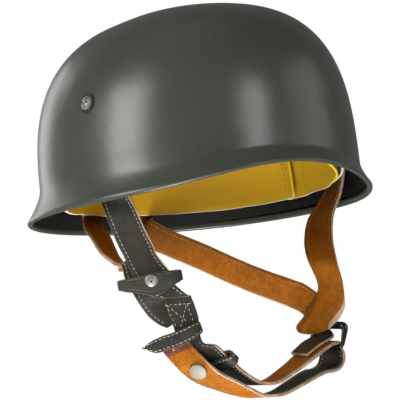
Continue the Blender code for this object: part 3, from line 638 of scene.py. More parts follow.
def smooth_between(before, start, end, after, share):
    """A point of a smooth curve through four points, between the middle two."""
    a = 2.0 * start
    b = (end - before) * share
    c = (2.0 * before - 5.0 * start + 4.0 * end - after) * share ** 2
    d = (3.0 * start - before - 3.0 * end + after) * share ** 3
    return (a + b + c + d) / 2.0


def smooth_edges(rows, step):
    """Runs smooth curves through the left and right edge points, with even steps."""
    sampled = []
    for i in range(len(rows) - 1):
        four = (rows[max(0, i - 1)], rows[i], rows[i + 1], rows[min(len(rows) - 1, i + 2)])
        span = max((four[2][0] - four[1][0]).length, (four[2][1] - four[1][1]).length)
        steps = max(1, round(span / step))
        for k in range(steps):
            sampled.append(tuple(smooth_between(*(row[e] for row in four), k / steps) for e in (0, 1)))
    sampled.append(rows[-1])
    return sampled


def add_mesh(name, points, faces, finishes, face_finishes=None, strap_map=None):
    """A piece at the origin with its place in its mesh."""
    mesh = bpy.data.meshes.new(name)
    mesh.from_pydata(points, [], faces)
    for finish in finishes:
        mesh.materials.append(finish)
    if face_finishes is not None:
        mesh.polygons.foreach_set("material_index", face_finishes)
    if strap_map is not None:
        layer = mesh.uv_layers.new(name="strap_map")
        layer.data.foreach_set("uv", np.asarray(strap_map, dtype=np.float32).ravel())
    mesh.shade_smooth()
    mesh.set_sharp_from_angle(angle=math.radians(38.0))
    piece = bpy.data.objects.new(name, mesh)
    bpy.context.scene.collection.objects.link(piece)
    return piece


def add_grid(name, rows, closed, finishes, pole=None):
    """A surface through rows of points, facing away from the helmet's middle, with an optional pole."""
    mesh = bpy.data.meshes.new(name)
    model = bmesh.new()
    grid = [[model.verts.new(point) for point in row] for row in rows]
    for lower, upper in zip(grid, grid[1:]):
        count = len(lower)
        for i in range(count if closed else count - 1):
            j = (i + 1) % count
            model.faces.new((lower[i], lower[j], upper[j], upper[i]))
    if pole is not None:
        tip = model.verts.new(pole)
        last = grid[-1]
        for i in range(len(last) if closed else len(last) - 1):
            model.faces.new((last[i], last[(i + 1) % len(last)], tip))
    model.normal_update()
    middle = place(0.0, 0.0, 0.03)
    if sum(face.normal.dot(face.calc_center_median() - middle) for face in model.faces) < 0.0:
        bmesh.ops.reverse_faces(model, faces=model.faces)
    model.to_mesh(mesh)
    model.free()
    for finish in finishes:
        mesh.materials.append(finish)
    mesh.shade_smooth()
    piece = bpy.data.objects.new(name, mesh)
    bpy.context.scene.collection.objects.link(piece)
    return piece


def bake(piece):
    """Turns a piece with its modifiers into a plain mesh under the same name."""
    name = piece.name
    evaluated = piece.evaluated_get(bpy.context.evaluated_depsgraph_get())
    mesh = bpy.data.meshes.new_from_object(evaluated)
    bpy.data.objects.remove(piece, do_unlink=True)
    made = bpy.data.objects.new(name, mesh)
    made.name = name
    mesh.name = name
    bpy.context.scene.collection.objects.link(made)
    return made


def thicken(piece, wall, offset, inner_finish=0, rim_finish=0):
    """Gives an open surface its wall, with other finishes on its inner face and its rim."""
    solid = piece.modifiers.new("wall", "SOLIDIFY")
    solid.thickness = wall
    solid.offset = offset
    solid.use_even_offset = True
    solid.material_offset = inner_finish
    solid.material_offset_rim = rim_finish
    return solid


def settle(piece, slot, *nodes):
    """Puts a finished piece on the helmet, in place of the nodes that it stands for."""
    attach(piece, "root")
    if nodes:
        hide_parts(*nodes)
    return piece


def strap_profile(wall):
    """The section of a strap, round from its left edge: half-width share, inset, height."""
    half = wall / 2.0
    left = []
    for turn in (0, 30, 60, 90):
        roll = math.radians(turn)
        left.append((-1.0, EDGE_ROUND * (1.0 - math.cos(roll)), half - EDGE_ROUND * (1.0 - math.sin(roll))))
    left += [(-1.0, inset, half - sink) for inset, sink in GROOVES]
    outer = left + [(-0.36, 0.0, half), (0.0, 0.0, half), (0.36, 0.0, half)]
    outer += [(-share, -inset, rise) for share, inset, rise in reversed(left)]
    inner = [(-share, -inset, -rise) for share, inset, rise in outer]
    return outer + inner


class Strap:
    """A leather strip between left and right edge points, and the lines that stitches follow on it."""

    def __init__(self, rows, outward=1.0, closed=False, seed=0.0):
        self.lefts = np.array([tuple(row[0]) for row in rows])
        self.rights = np.array([tuple(row[1]) for row in rows])
        self.closed = closed
        self.seed = seed
        middles = (self.lefts + self.rights) / 2.0
        if closed:
            ahead = np.roll(middles, -1, axis=0) - np.roll(middles, 1, axis=0)
        else:
            ahead = np.gradient(middles, axis=0)
        across = self.rights - self.lefts
        self.halves = np.linalg.norm(across, axis=1) / 2.0
        self.across = across / (2.0 * self.halves[:, None])
        self.outward = outward
        out = np.cross(ahead, self.across)
        self.out = outward * out / np.linalg.norm(out, axis=1)[:, None]
        self.middles = middles
        steps = np.linalg.norm(np.diff(middles, axis=0), axis=1)
        self.run = np.concatenate([[0.0], np.cumsum(steps)])
        self.total = self.run[-1] + (np.linalg.norm(middles[0] - middles[-1]) if closed else 0.0)

    def mesh(self, name, finishes, wall=STRAP_WALL, red_from=None):
        """The strip as a closed mesh; its map holds the place across and along, in metres."""
        profile = strap_profile(wall)
        count = len(self.middles)
        width = len(profile)
        points = []
        across_map = np.zeros((count, width))
        for i in range(count):
            squeeze = min(1.0, self.halves[i] / NARROW_HALF)
            drift = noise.noise((self.run[i] * 70.0, self.seed, 0.0)) * STRAP_WANDER
            lift = noise.noise((self.run[i] * 45.0, self.seed, 5.0)) * STRAP_WANDER
            for j, (share, inset, rise) in enumerate(profile):
                reach = share * self.halves[i] + inset * squeeze
                nick = noise.noise((self.run[i] * 420.0, share * 3.0, self.seed)) * 0.00012
                wear = nick if abs(share) == 1.0 else 0.0
                spot = self.middles[i] + self.across[i] * (reach + drift + wear)
                points.append(tuple(spot + self.out[i] * (rise + lift)))
                across_map[i, j] = reach
        faces = []
        uvs = []
        kinds = []
        half = wall / 2.0
        for i in range(count if self.closed else count - 1):
            n = (i + 1) % count
            run_next = self.run[i + 1] if i + 1 < count else self.total
            for j in range(width):
                k = (j + 1) % width
                corners = [(i, j, self.run[i]), (i, k, self.run[i]), (n, k, run_next), (n, j, run_next)]
                if self.outward > 0.0:
                    corners.reverse()
                faces.append([a * width + b for a, b, run in corners])
                uvs += [(across_map[a, b], run) for a, b, run in corners]
                rise = (profile[j][2] + profile[k][2]) / 2.0
                if abs(rise) < half - 0.4 * EDGE_ROUND:
                    kinds.append(2)
                elif rise > 0.0:
                    kinds.append(0)
                else:
                    kinds.append(3 if red_from is not None and self.run[i] > red_from else 1)
        if not self.closed:
            for i in (0, count - 1):
                cap = list(range(i * width, (i + 1) * width))
                if (i == 0) == (self.outward > 0.0):
                    cap.reverse()
                faces.append(cap[::-1])
                uvs += [(across_map[i, index - i * width], self.run[i]) for index in cap[::-1]]
                kinds.append(2)
        return add_mesh(name, points, faces, finishes, kinds, uvs)

    def line(self, side, inset, face, first=0.0, last=1.0, lift=0.0, wall=STRAP_WALL):
        """The points of a stitch row beside an edge, on the outer face (1) or the inner face (-1)."""
        points = []
        for i in range(len(self.middles)):
            if first * self.total <= self.run[i] <= last * self.total:
                reach = side * (self.halves[i] - inset * min(1.0, self.halves[i] / NARROW_HALF))
                drift = noise.noise((self.run[i] * 70.0, self.seed, 0.0)) * STRAP_WANDER
                rise = noise.noise((self.run[i] * 45.0, self.seed, 5.0)) * STRAP_WANDER
                spot = self.middles[i] + self.across[i] * (reach + drift)
                points.append(spot + self.out[i] * (face * (wall / 2.0 + lift) + rise))
        return points


def node(tree, kind, inputs=None, **values):
    """Adds a node; its inputs take values or other nodes' sockets."""
    made = tree.nodes.new(kind)
    for name, value in values.items():
        setattr(made, name, value)
    for name, value in (inputs or {}).items():
        if isinstance(value, bpy.types.NodeSocket):
            tree.links.new(value, made.inputs[name])
        else:
            made.inputs[name].default_value = value
    return made


def new_finish(name, colour, roughness, metallic=0.0, **uniform):
    """A Principled material with the values that are the same all over it."""
    finish = bpy.data.materials.new(name)
    finish.use_nodes = True
    tree = finish.node_tree
    shader = tree.nodes["Principled BSDF"]
    shader.inputs["Base Color"].default_value = (*colour, 1.0)
    shader.inputs["Roughness"].default_value = roughness
    shader.inputs["Metallic"].default_value = metallic
    for name, value in uniform.items():
        shader.inputs[name.replace("_", " ")].default_value = value
    coords = node(tree, "ShaderNodeTexCoord")
    return finish, tree, shader, coords.outputs["Object"]


def speckle(tree, spot, scale, detail=3.0, rough=0.55, low=0.35, high=0.65):
    """Noise stretched to run from 0 to 1."""
    values = {"Vector": spot, "Scale": scale, "Detail": detail, "Roughness": rough}
    cloud = node(tree, "ShaderNodeTexNoise", values)
    return rise(tree, cloud.outputs[0], low, high)


def blend(tree, share, first, second, kind="MIX"):
    """Mixes two colours or sockets by a share."""
    mix = node(tree, "ShaderNodeMix", data_type="RGBA", blend_type=kind)
    for index, value in ((0, share), (6, first), (7, second)):
        if isinstance(value, bpy.types.NodeSocket):
            tree.links.new(value, mix.inputs[index])
        elif index == 0:
            mix.inputs[index].default_value = value
        else:
            mix.inputs[index].default_value = (*value, 1.0)
    return mix.outputs[2]


def shade(colour, share):
    """A colour made lighter or darker."""
    return tuple(min(1.0, part * share) for part in colour)


def relief(tree, shader, heights):
    """Bumps a surface by several heights, each a socket with its depth in metres."""
    before = None
    for socket, depth in heights:
        inputs = {"Height": socket, "Strength": 1.0, "Distance": depth}
        if before is not None:
            inputs["Normal"] = before
        before = node(tree, "ShaderNodeBump", inputs).outputs[0]
    tree.links.new(before, shader.inputs["Normal"])


def vary_roughness(tree, shader, share, low, high):
    """Lets the roughness follow a pattern."""
    ramp = node(tree, "ShaderNodeMapRange", {"Value": share, "To Min": low, "To Max": high})
    tree.links.new(ramp.outputs[0], shader.inputs["Roughness"])


def make_paint_finish():
    """Satin field-grey paint with a fine orange peel and faint cloudiness."""
    paint = settings("helmet_paint")
    colour = tuple(paint.colour)
    finish, tree, shader, spot = new_finish("field_grey_paint", colour, paint.roughness)
    cloud = speckle(tree, spot, 14.0)
    fine = speckle(tree, spot, 420.0, 2.0)
    toned = blend(tree, cloud, shade(colour, 0.93), shade(colour, 1.07))
    tree.links.new(blend(tree, fine, toned, shade(colour, 1.10)), shader.inputs["Base Color"])
    vary_roughness(tree, shader, cloud, paint.roughness - 0.03, paint.roughness + 0.03)
    ripple = speckle(tree, spot, 260.0, 2.0, 0.5, 0.2, 0.8)
    sweep = speckle(tree, spot, 22.0, 2.0, 0.5, 0.2, 0.8)
    relief(tree, shader, ((ripple, paint.peel_depth), (sweep, 0.0005)))
    return finish


def make_inside_shade_finish():
    """Painted shade inside the shell: the inner face and the hem's rim made near-black, with a faint mottle.
    """
    paint = settings("helmet_paint")
    colour = tuple(paint.inside_shade_colour)
    finish, tree, shader, spot = new_finish("shell_inside_painted_shade", colour, 0.70, Specular_IOR_Level=0.15)
    cloud = speckle(tree, spot, 60.0)
    tree.links.new(blend(tree, cloud, shade(colour, 0.75), shade(colour, 1.5)), shader.inputs["Base Color"])
    relief(tree, shader, ((speckle(tree, spot, 500.0, 2.0), 0.00005),))
    return finish


def leather_pores(tree, spot, scale, width):
    """Leather's pores as cells with sunk edges, from 0 to 1."""
    cells = node(tree, "ShaderNodeTexVoronoi", {"Vector": spot, "Scale": scale}, feature="DISTANCE_TO_EDGE")
    return node(tree, "ShaderNodeMapRange", {"Value": cells.outputs[0], "From Max": width}).outputs[0]


def rise(tree, value, low, high, most=1.0):
    """Runs a value from 0 at low to the most at high."""
    inputs = {"Value": value, "From Min": low, "From Max": high, "To Max": most}
    return node(tree, "ShaderNodeMapRange", inputs).outputs[0]


def make_liner_finish():
    """Dyed yellow leather: soft blotches, fine grain and faint creases."""
    colour = tuple(settings("helmet_leather").liner_colour)
    finish, tree, shader, spot = new_finish("yellow_leather", colour, 0.55, Specular_IOR_Level=0.06)
    blotch = speckle(tree, spot, 26.0, 3.0)
    toned = blend(tree, blotch, shade(colour, 0.84), shade(colour, 1.04))
    dust = speckle(tree, spot, 300.0, 3.0, 0.6, 0.55, 0.8)
    tree.links.new(blend(tree, dust, toned, shade(colour, 0.72)), shader.inputs["Base Color"])
    vary_roughness(tree, shader, blotch, 0.46, 0.60)
    pores = leather_pores(tree, spot, 900.0, 0.25)
    waves = speckle(tree, spot, 45.0, 3.0, 0.5, 0.2, 0.8)
    relief(tree, shader, ((pores, 0.00006), (waves, 0.0009)))
    return finish


def make_liner_edge_finish():
    """The cut edge of the yellow leather: pale along the bottom and dyed up the seams."""
    colour = (0.88, 0.80, 0.58)
    finish, tree, shader, spot = new_finish("liner_cut_edge", colour, 0.75)
    fibre = speckle(tree, spot, 900.0)
    pale = blend(tree, fibre, shade(colour, 0.8), shade(colour, 1.1))
    height = node(tree, "ShaderNodeSeparateXYZ", {0: spot}).outputs[2]
    low = RIM_LEVEL + LINER_EDGE_HEIGHT + 0.0016
    dyed = node(tree, "ShaderNodeMapRange", {"Value": height, "From Min": low, "From Max": low + 0.0022})
    yellow = shade(tuple(settings("helmet_leather").liner_colour), 0.8)
    tree.links.new(blend(tree, dyed.outputs[0], pale, yellow), shader.inputs["Base Color"])
    relief(tree, shader, ((fibre, 0.0001),))
    return finish


def make_grain_finish():
    """Olive-black grain leather with pores, soft creases, rubbed edges and a painted highlight in the cut
    edge's colour along one edge.
    """
    colour = tuple(settings("helmet_leather").grain_colour)
    finish, tree, shader, spot = new_finish("strap_grain_leather", colour, 0.46, Specular_IOR_Level=0.42)
    blotch = speckle(tree, spot, 70.0, 4.0)
    toned = blend(tree, blotch, shade(colour, 0.72), shade(colour, 1.25))
    strap_map = node(tree, "ShaderNodeUVMap", uv_map="strap_map")
    parts = node(tree, "ShaderNodeSeparateXYZ", {0: strap_map.outputs[0]})
    beside = node(tree, "ShaderNodeMath", {0: parts.outputs[0]}, operation="ABSOLUTE")
    rub = rise(tree, beside.outputs[0], 0.0088, 0.0108)
    patchy = speckle(tree, spot, 260.0, 3.0, 0.6, 0.42, 0.62)
    worn = node(tree, "ShaderNodeMath", {0: rub, 1: patchy}, operation="MULTIPLY")
    rubbed = blend(tree, worn.outputs[0], toned, (0.085, 0.068, 0.046))
    # Painted highlight: a pale band in the cut edge's colour along the right-hand edge only.
    raw = rise(tree, parts.outputs[0], 0.0099, 0.0103, 0.8)
    edged = blend(tree, raw, rubbed, tuple(settings("helmet_leather").edge_colour))
    tree.links.new(edged, shader.inputs["Base Color"])
    vary_roughness(tree, shader, blotch, 0.40, 0.56)
    pores = leather_pores(tree, spot, 1150.0, 0.22)
    crease = speckle(tree, spot, 160.0, 4.0, 0.6, 0.25, 0.75)
    relief(tree, shader, ((pores, 0.00007), (crease, 0.00035)))
    return finish


def make_suede_finish():
    """Tan suede with a mottled nap, painted shade near the shell, painted shade with some burnishing along
    one edge and a painted highlight in the cut edge's colour along the other.
    """
    colour = tuple(settings("helmet_leather").suede_colour)
    finish, tree, shader, spot = new_finish(
        "strap_suede", colour, 0.80, Sheen_Weight=0.015, Sheen_Roughness=0.5,
        Sheen_Tint=(0.9, 0.6, 0.35, 1.0), Specular_IOR_Level=0.12,
    )
    patch = speckle(tree, spot, 125.0, 6.0, 0.72, 0.36, 0.64)
    nap = speckle(tree, spot, 620.0, 4.0, 0.7, 0.3, 0.7)
    toned = blend(tree, patch, shade(colour, 0.60), shade(colour, 1.18))
    mottled = blend(tree, nap, toned, (0.50, 0.19, 0.022))
    half = node(tree, "ShaderNodeMath", {0: nap, 1: 0.40}, operation="MULTIPLY")
    tree.links.new(half.outputs[0], mottled.node.inputs[0])
    # Painted shade: the suede darkens towards the rim, where the straps run up under the shell.
    parts = node(tree, "ShaderNodeSeparateXYZ", {0: spot})
    painted_shade_near_rim = node(
        tree, "ShaderNodeMapRange", {"Value": parts.outputs[2], "From Min": -0.150, "From Max": -0.106},
        interpolation_type="SMOOTHSTEP",
    )
    shaded = node(tree, "ShaderNodeMath", {0: painted_shade_near_rim.outputs[0], 1: 0.72}, operation="MULTIPLY")
    dark = blend(tree, shaded.outputs[0], mottled, (0.070, 0.028, 0.008))
    strap_map = node(tree, "ShaderNodeUVMap", uv_map="strap_map")
    across = node(tree, "ShaderNodeSeparateXYZ", {0: strap_map.outputs[0]}).outputs[0]
    # Painted highlight: a pale band in the cut edge's colour along the right-hand edge only.
    raw = rise(tree, across, 0.0097, 0.0103, 0.85)
    # Painted shade, partly burnishing: a darker brown band along the left-hand edge only.
    burnish_and_shade_edge = rise(tree, across, -0.0088, -0.0106, 0.6)
    edged = blend(tree, burnish_and_shade_edge, dark, (0.11, 0.036, 0.006))
    edged = blend(tree, raw, edged, tuple(settings("helmet_leather").edge_colour))
    tree.links.new(edged, shader.inputs["Base Color"])
    fibre = node(tree, "ShaderNodeTexNoise", {"Vector": spot, "Scale": 2600.0, "Detail": 3.0})
    relief(tree, shader, ((fibre.outputs[0], 0.0002), (nap, 0.00022), (patch, 0.0004)))
    return finish


def make_red_end_finish():
    """The rubbed red-brown face of the returned end, with light scratches."""
    colour = (0.115, 0.026, 0.012)
    finish, tree, shader, spot = new_finish("strap_red_end", colour, 0.42)
    patch = speckle(tree, spot, 110.0, 4.0)
    toned = blend(tree, patch, shade(colour, 0.65), shade(colour, 1.35))
    scratch = speckle(tree, spot, 330.0, 1.0, 0.4, 0.66, 0.70)
    tree.links.new(blend(tree, scratch, toned, (0.60, 0.42, 0.24)), shader.inputs["Base Color"])
    relief(tree, shader, ((speckle(tree, spot, 700.0), 0.00012),))
    return finish


def make_edge_finish():
    """The raw cut edge of the straps."""
    colour = tuple(settings("helmet_leather").edge_colour)
    finish, tree, shader, spot = new_finish("strap_cut_edge", colour, 0.78)
    fibre = speckle(tree, spot, 700.0, 4.0, 0.65)
    stain = speckle(tree, spot, 90.0, 3.0)
    toned = blend(tree, fibre, shade(colour, 0.70), shade(colour, 1.15))
    tree.links.new(blend(tree, stain, toned, shade(colour, 0.80), "MULTIPLY"), shader.inputs["Base Color"])
    relief(tree, shader, ((fibre, 0.00015),))
    return finish


def make_thread_finish(name, colour):
    """Waxed thread with a fine twist."""
    finish, tree, shader, spot = new_finish(name, colour, 0.62)
    dust = speckle(tree, spot, 800.0)
    tree.links.new(blend(tree, dust, shade(colour, 0.78), shade(colour, 1.08)), shader.inputs["Base Color"])
    twist = node(tree, "ShaderNodeTexWave", {"Vector": spot, "Scale": 900.0, "Distortion": 3.0})
    relief(tree, shader, ((twist.outputs[1], 0.00008),))
    return finish


def make_metal_finish(name, colour, roughness, metallic, mottle, depth=0.00004):
    """Worn metal or enamel: mottled tone, uneven gloss and a faint tooled ripple."""
    finish, tree, shader, spot = new_finish(name, colour, roughness, metallic)
    cloud = speckle(tree, spot, 380.0, 4.0)
    toned = blend(tree, cloud, shade(colour, 1.0 - mottle), shade(colour, 1.0 + mottle))
    tree.links.new(toned, shader.inputs["Base Color"])
    vary_roughness(tree, shader, cloud, max(0.05, roughness - 0.08), roughness + 0.10)
    relief(tree, shader, ((speckle(tree, spot, 900.0, 2.0), depth),))
    return finish


def finish_named(name):
    """A finish that this scene made."""
    return bpy.data.materials[name]


def strap_finishes():
    """Grain, suede, cut edge and red end, in the order that a strap's faces number them."""
    names = ("strap_grain_leather", "strap_suede", "strap_cut_edge", "strap_red_end")
    return [finish_named(name) for name in names]


def stitch_tree():
    """Geometry Nodes that lay one thread stitch at every pitch along the lines of a mesh."""
    tree = bpy.data.node_groups.get("stitch_rows")
    if tree is not None:
        return tree
    tree = bpy.data.node_groups.new("stitch_rows", "GeometryNodeTree")
    face = tree.interface
    face.new_socket(name="Geometry", in_out="INPUT", socket_type="NodeSocketGeometry")
    for name, default in (("Pitch", 0.003), ("Stitch Length", 0.002), ("Thread Radius", 0.0003)):
        socket = face.new_socket(name=name, in_out="INPUT", socket_type="NodeSocketFloat")
        socket.default_value = default
    face.new_socket(name="Thread", in_out="INPUT", socket_type="NodeSocketMaterial")
    face.new_socket(name="Geometry", in_out="OUTPUT", socket_type="NodeSocketGeometry")
    given = node(tree, "NodeGroupInput").outputs
    lines = node(tree, "GeometryNodeMeshToCurve", {"Mesh": given["Geometry"]})
    dotted = node(
        tree, "GeometryNodeResampleCurve", {"Curve": lines.outputs[0], "Length": given["Pitch"]},
        mode="LENGTH",
    )
    ball = node(tree, "GeometryNodeMeshUVSphere", {"Segments": 8, "Rings": 6, "Radius": 1.0})
    half = node(tree, "ShaderNodeMath", {0: given["Stitch Length"], 1: 0.5}, operation="MULTIPLY")
    thick = given["Thread Radius"]
    size = node(tree, "ShaderNodeCombineXYZ", {0: thick, 1: thick, 2: half.outputs[0]})
    stitch = node(tree, "GeometryNodeTransform", {"Geometry": ball.outputs[0], "Scale": size.outputs[0]})
    along = node(tree, "GeometryNodeInputTangent")
    turned = node(tree, "FunctionNodeAlignRotationToVector", {"Vector": along.outputs[0]}, axis="Z")
    uneven = node(tree, "FunctionNodeRandomValue", {"Seed": 7}, data_type="FLOAT")
    spread = {"Min": 0.84, "Max": 1.12}
    for socket in uneven.inputs:
        if socket.type == "VALUE" and socket.name in spread:
            socket.default_value = spread[socket.name]
    value = [socket for socket in uneven.outputs if socket.type == "VALUE"][0]
    laid = node(
        tree, "GeometryNodeInstanceOnPoints",
        {
            "Points": dotted.outputs[0], "Instance": stitch.outputs[0],
            "Rotation": turned.outputs[0], "Scale": value,
        },
    )
    real = node(tree, "GeometryNodeRealizeInstances", {"Geometry": laid.outputs[0]})
    coloured = node(
        tree, "GeometryNodeSetMaterial", {"Geometry": real.outputs[0], "Material": given["Thread"]}
    )
    node(tree, "NodeGroupOutput", {"Geometry": coloured.outputs[0]})
    return tree


def add_stitches(name, lines, thread, pitch=None, length=None, radius=None):
    """Bakes a row of stitches along each line into one piece."""
    leather = settings("helmet_leather")
    points = []
    edges = []
    for line in lines:
        first = len(points)
        points += [tuple(point) for point in line]
        edges += [(i, i + 1) for i in range(first, len(points) - 1)]
    mesh = bpy.data.meshes.new(name)
    mesh.from_pydata(points, edges, [])
    piece = bpy.data.objects.new(name, mesh)
    bpy.context.scene.collection.objects.link(piece)
    tree = stitch_tree()
    rows = piece.modifiers.new("stitches", "NODES")
    rows.node_group = tree
    values = {
        "Pitch": pitch or leather.stitch_pitch,
        "Stitch Length": length or leather.stitch_length,
        "Thread Radius": radius or leather.thread_radius,
        "Thread": thread,
    }
    for item in tree.interface.items_tree:
        if item.in_out == "INPUT" and item.name in values:
            rows[item.identifier] = values[item.name]
    made = bake(piece)
    made.data.shade_smooth()
    return settle(made, "strap_leather")


def between(first, last, count=24):
    """Evenly spaced points of a straight line."""
    return [first.lerp(last, i / count) for i in range(count + 1)]


def add_turned(name, profile, seat, out, finishes, kinds):
    """A turned piece from its profile, from the axis down the outer side and back to the axis."""
    steps = settings("helmet_fineness").turned_steps
    turn = out.to_track_quat("Z", "Y").to_matrix()
    points = [tuple(seat + turn @ Vector((0.0, 0.0, profile[0][1])))]
    rings = []
    for radius, level in profile[1:-1]:
        rings.append(len(points))
        for k in range(steps):
            roll = 2.0 * math.pi * k / steps
            spot = Vector((radius * math.cos(roll), radius * math.sin(roll), level))
            points.append(tuple(seat + turn @ spot))
    points.append(tuple(seat + turn @ Vector((0.0, 0.0, profile[-1][1]))))
    faces = []
    used = []
    for k in range(steps):
        n = (k + 1) % steps
        faces.append((0, rings[0] + k, rings[0] + n))
        used.append(kinds[0])
        for r in range(len(rings) - 1):
            faces.append((rings[r] + k, rings[r + 1] + k, rings[r + 1] + n, rings[r] + n))
            used.append(kinds[r + 1])
        faces.append((rings[-1] + n, rings[-1] + k, len(points) - 1))
        used.append(kinds[-1])
    return add_mesh(name, points, faces, finishes, used)


def add_keeper_rows(middle, along, out, width, span, front, back, taper=0.0, lip=0.0, deepen=0.0, sag=0.0):
    """The edge rows of a flattened leather loop, closed from its front to its back and round again."""
    depth = (front - back) / 2.0
    centre = middle + out * (front + back) / 2.0
    down = along.cross(out).normalized()
    straight = span / 2.0 - depth
    ring = []
    for i in range(LOOP_END_STEPS + 1):
        turn = math.pi * (i / LOOP_END_STEPS - 0.5)
        ring.append((straight + depth * math.cos(turn), depth * math.sin(turn)))
    for i in range(1, LOOP_SIDE_STEPS):
        ring.append((straight - (2.0 * straight + taper) * i / LOOP_SIDE_STEPS, depth))
    for i in range(LOOP_END_STEPS + 1):
        turn = math.pi * (i / LOOP_END_STEPS + 0.5)
        ring.append((-straight - taper + depth * math.cos(turn), depth * math.sin(turn)))
    for i in range(1, LOOP_SIDE_STEPS):
        ring.append((-straight - taper + (2.0 * straight + taper) * i / LOOP_SIDE_STEPS, -depth))
    rows = []
    for reach, rise in ring:
        share = reach / (span / 2.0)
        puff = lip * max(0.0, 1.0 - share * share) * (1.0 if rise > 0.0 else 0.0)
        spot = centre + along * reach + out * rise
        pinch = max(0.0, -share - 0.30) if taper > 0.0 else 0.0
        low = spot + down * width * (0.5 + 0.20 * pinch - 0.95 * max(0.0, pinch - 0.45))
        high = spot - down * width * (0.5 - 0.50 * pinch ** 1.3)
        deep = deepen * math.exp(-(((share - 0.12) / 0.5) ** 2)) if rise > 0.0 else 0.0
        trim = width * 0.16 * abs(share) ** 6
        drop = sag * (1.0 - share * share)
        low += down * (deep + drop - trim) + out * puff * 0.15
        high -= down * (deep * 0.35 - drop - trim) - out * puff
        rows.append((low, high))
    return rows


def chin_strap_rows():
    """The rows of the whole chin strap, and those of its inner and outer runs."""
    board = Board(share_point(*RIGHT_BOARD))
    across = direction(BAR_SWING, BAR_TIP)
    side = UP.cross(across).normalized()
    rise = across.cross(side).normalized()
    radius = BUCKLE_WIRE_RADIUS + FIT_GAP + FACET_ROOM + STRAP_WALL / 2.0
    turned = []
    for degrees in BAR_WRAP_TURNS:
        bend = math.radians(degrees)
        spot = share_point(*BAR_PLACE) + (side * math.cos(bend) + rise * math.sin(bend)) * radius
        turned.append(edges_at(spot, across))
    inner = open_rows(CHIN_INNER_ROWS)
    outer = open_rows(CHIN_OUTER_ROWS) + board.rows(CHIN_END_BOARD)
    return board.rows(CHIN_TOP_BOARD) + inner + turned + outer, inner, outer


def strap_frame(rows, place_in_rows):
    """The middle, the direction along, across and the face of a strap at a row."""
    before = rows[place_in_rows - 1]
    here = rows[place_in_rows]
    after = rows[place_in_rows + 1]
    along = ((after[0] + after[1]) - (before[0] + before[1])).normalized()
    across = (here[1] - here[0]).normalized()
    return (here[0] + here[1]) / 2.0, along, across, along.cross(across).normalized()


class HELMET_OT_finishes(Operator):
    """Make the paint, leather, thread and metal finishes"""

    bl_idname = "helmet.finishes"
    bl_label = "Finishes"

    def execute(self, context):
        make_paint_finish()
        make_inside_shade_finish()
        make_liner_finish()
        make_liner_edge_finish()
        make_grain_finish()
        make_suede_finish()
        make_red_end_finish()
        make_edge_finish()
        thread = tuple(settings("helmet_leather").thread_colour)
        make_thread_finish("cream_thread", thread)
        make_thread_finish("tan_thread", (0.56, 0.34, 0.12))
        # Stitching made dark brown as painted shade of the seam's stitch holes.
        make_thread_finish("seam_hole_shade_thread", (0.11, 0.065, 0.008))
        for metal in METALS:
            make_metal_finish(*metal)
        return {"FINISHED"}


class HELMET_OT_shell(Operator):
    """Build the painted steel shell with its flare, brow arch and rolled hem"""

    bl_idname = "helmet.shell"
    bl_label = "Shell"

    def execute(self, context):
        fineness = settings("helmet_fineness")
        angles = [2.0 * math.pi * i / fineness.around for i in range(fineness.around)]
        rows = [[hem_point(a, -180.0, leg) for a in angles] for leg in (HEM_LEG, HEM_LEG / 2.0)]
        for turn in range(-180, 1, 20):
            rows.append([hem_point(a, turn, 0.0) for a in angles])
        for row in range(1, fineness.flare_rows + 1):
            rows.append([flare_point(a, row / fineness.flare_rows) for a in angles])
        for row in range(1, fineness.dome_rows):
            rows.append(dome_ring(angles, (row / fineness.dome_rows) ** 1.2))
        finishes = [finish_named("field_grey_paint"), finish_named("shell_inside_painted_shade")]
        shell = add_grid("painted_shell", rows, True, finishes, place(0.0, DOME_LEAN, DOME_HEIGHT))
        # The inner face and the hem's rim take the near-black painted shade.
        thicken(shell, SHELL_WALL, -1.0, inner_finish=1, rim_finish=1)
        settle(bake(shell), "field_grey_steel", "shell")
        return {"FINISHED"}


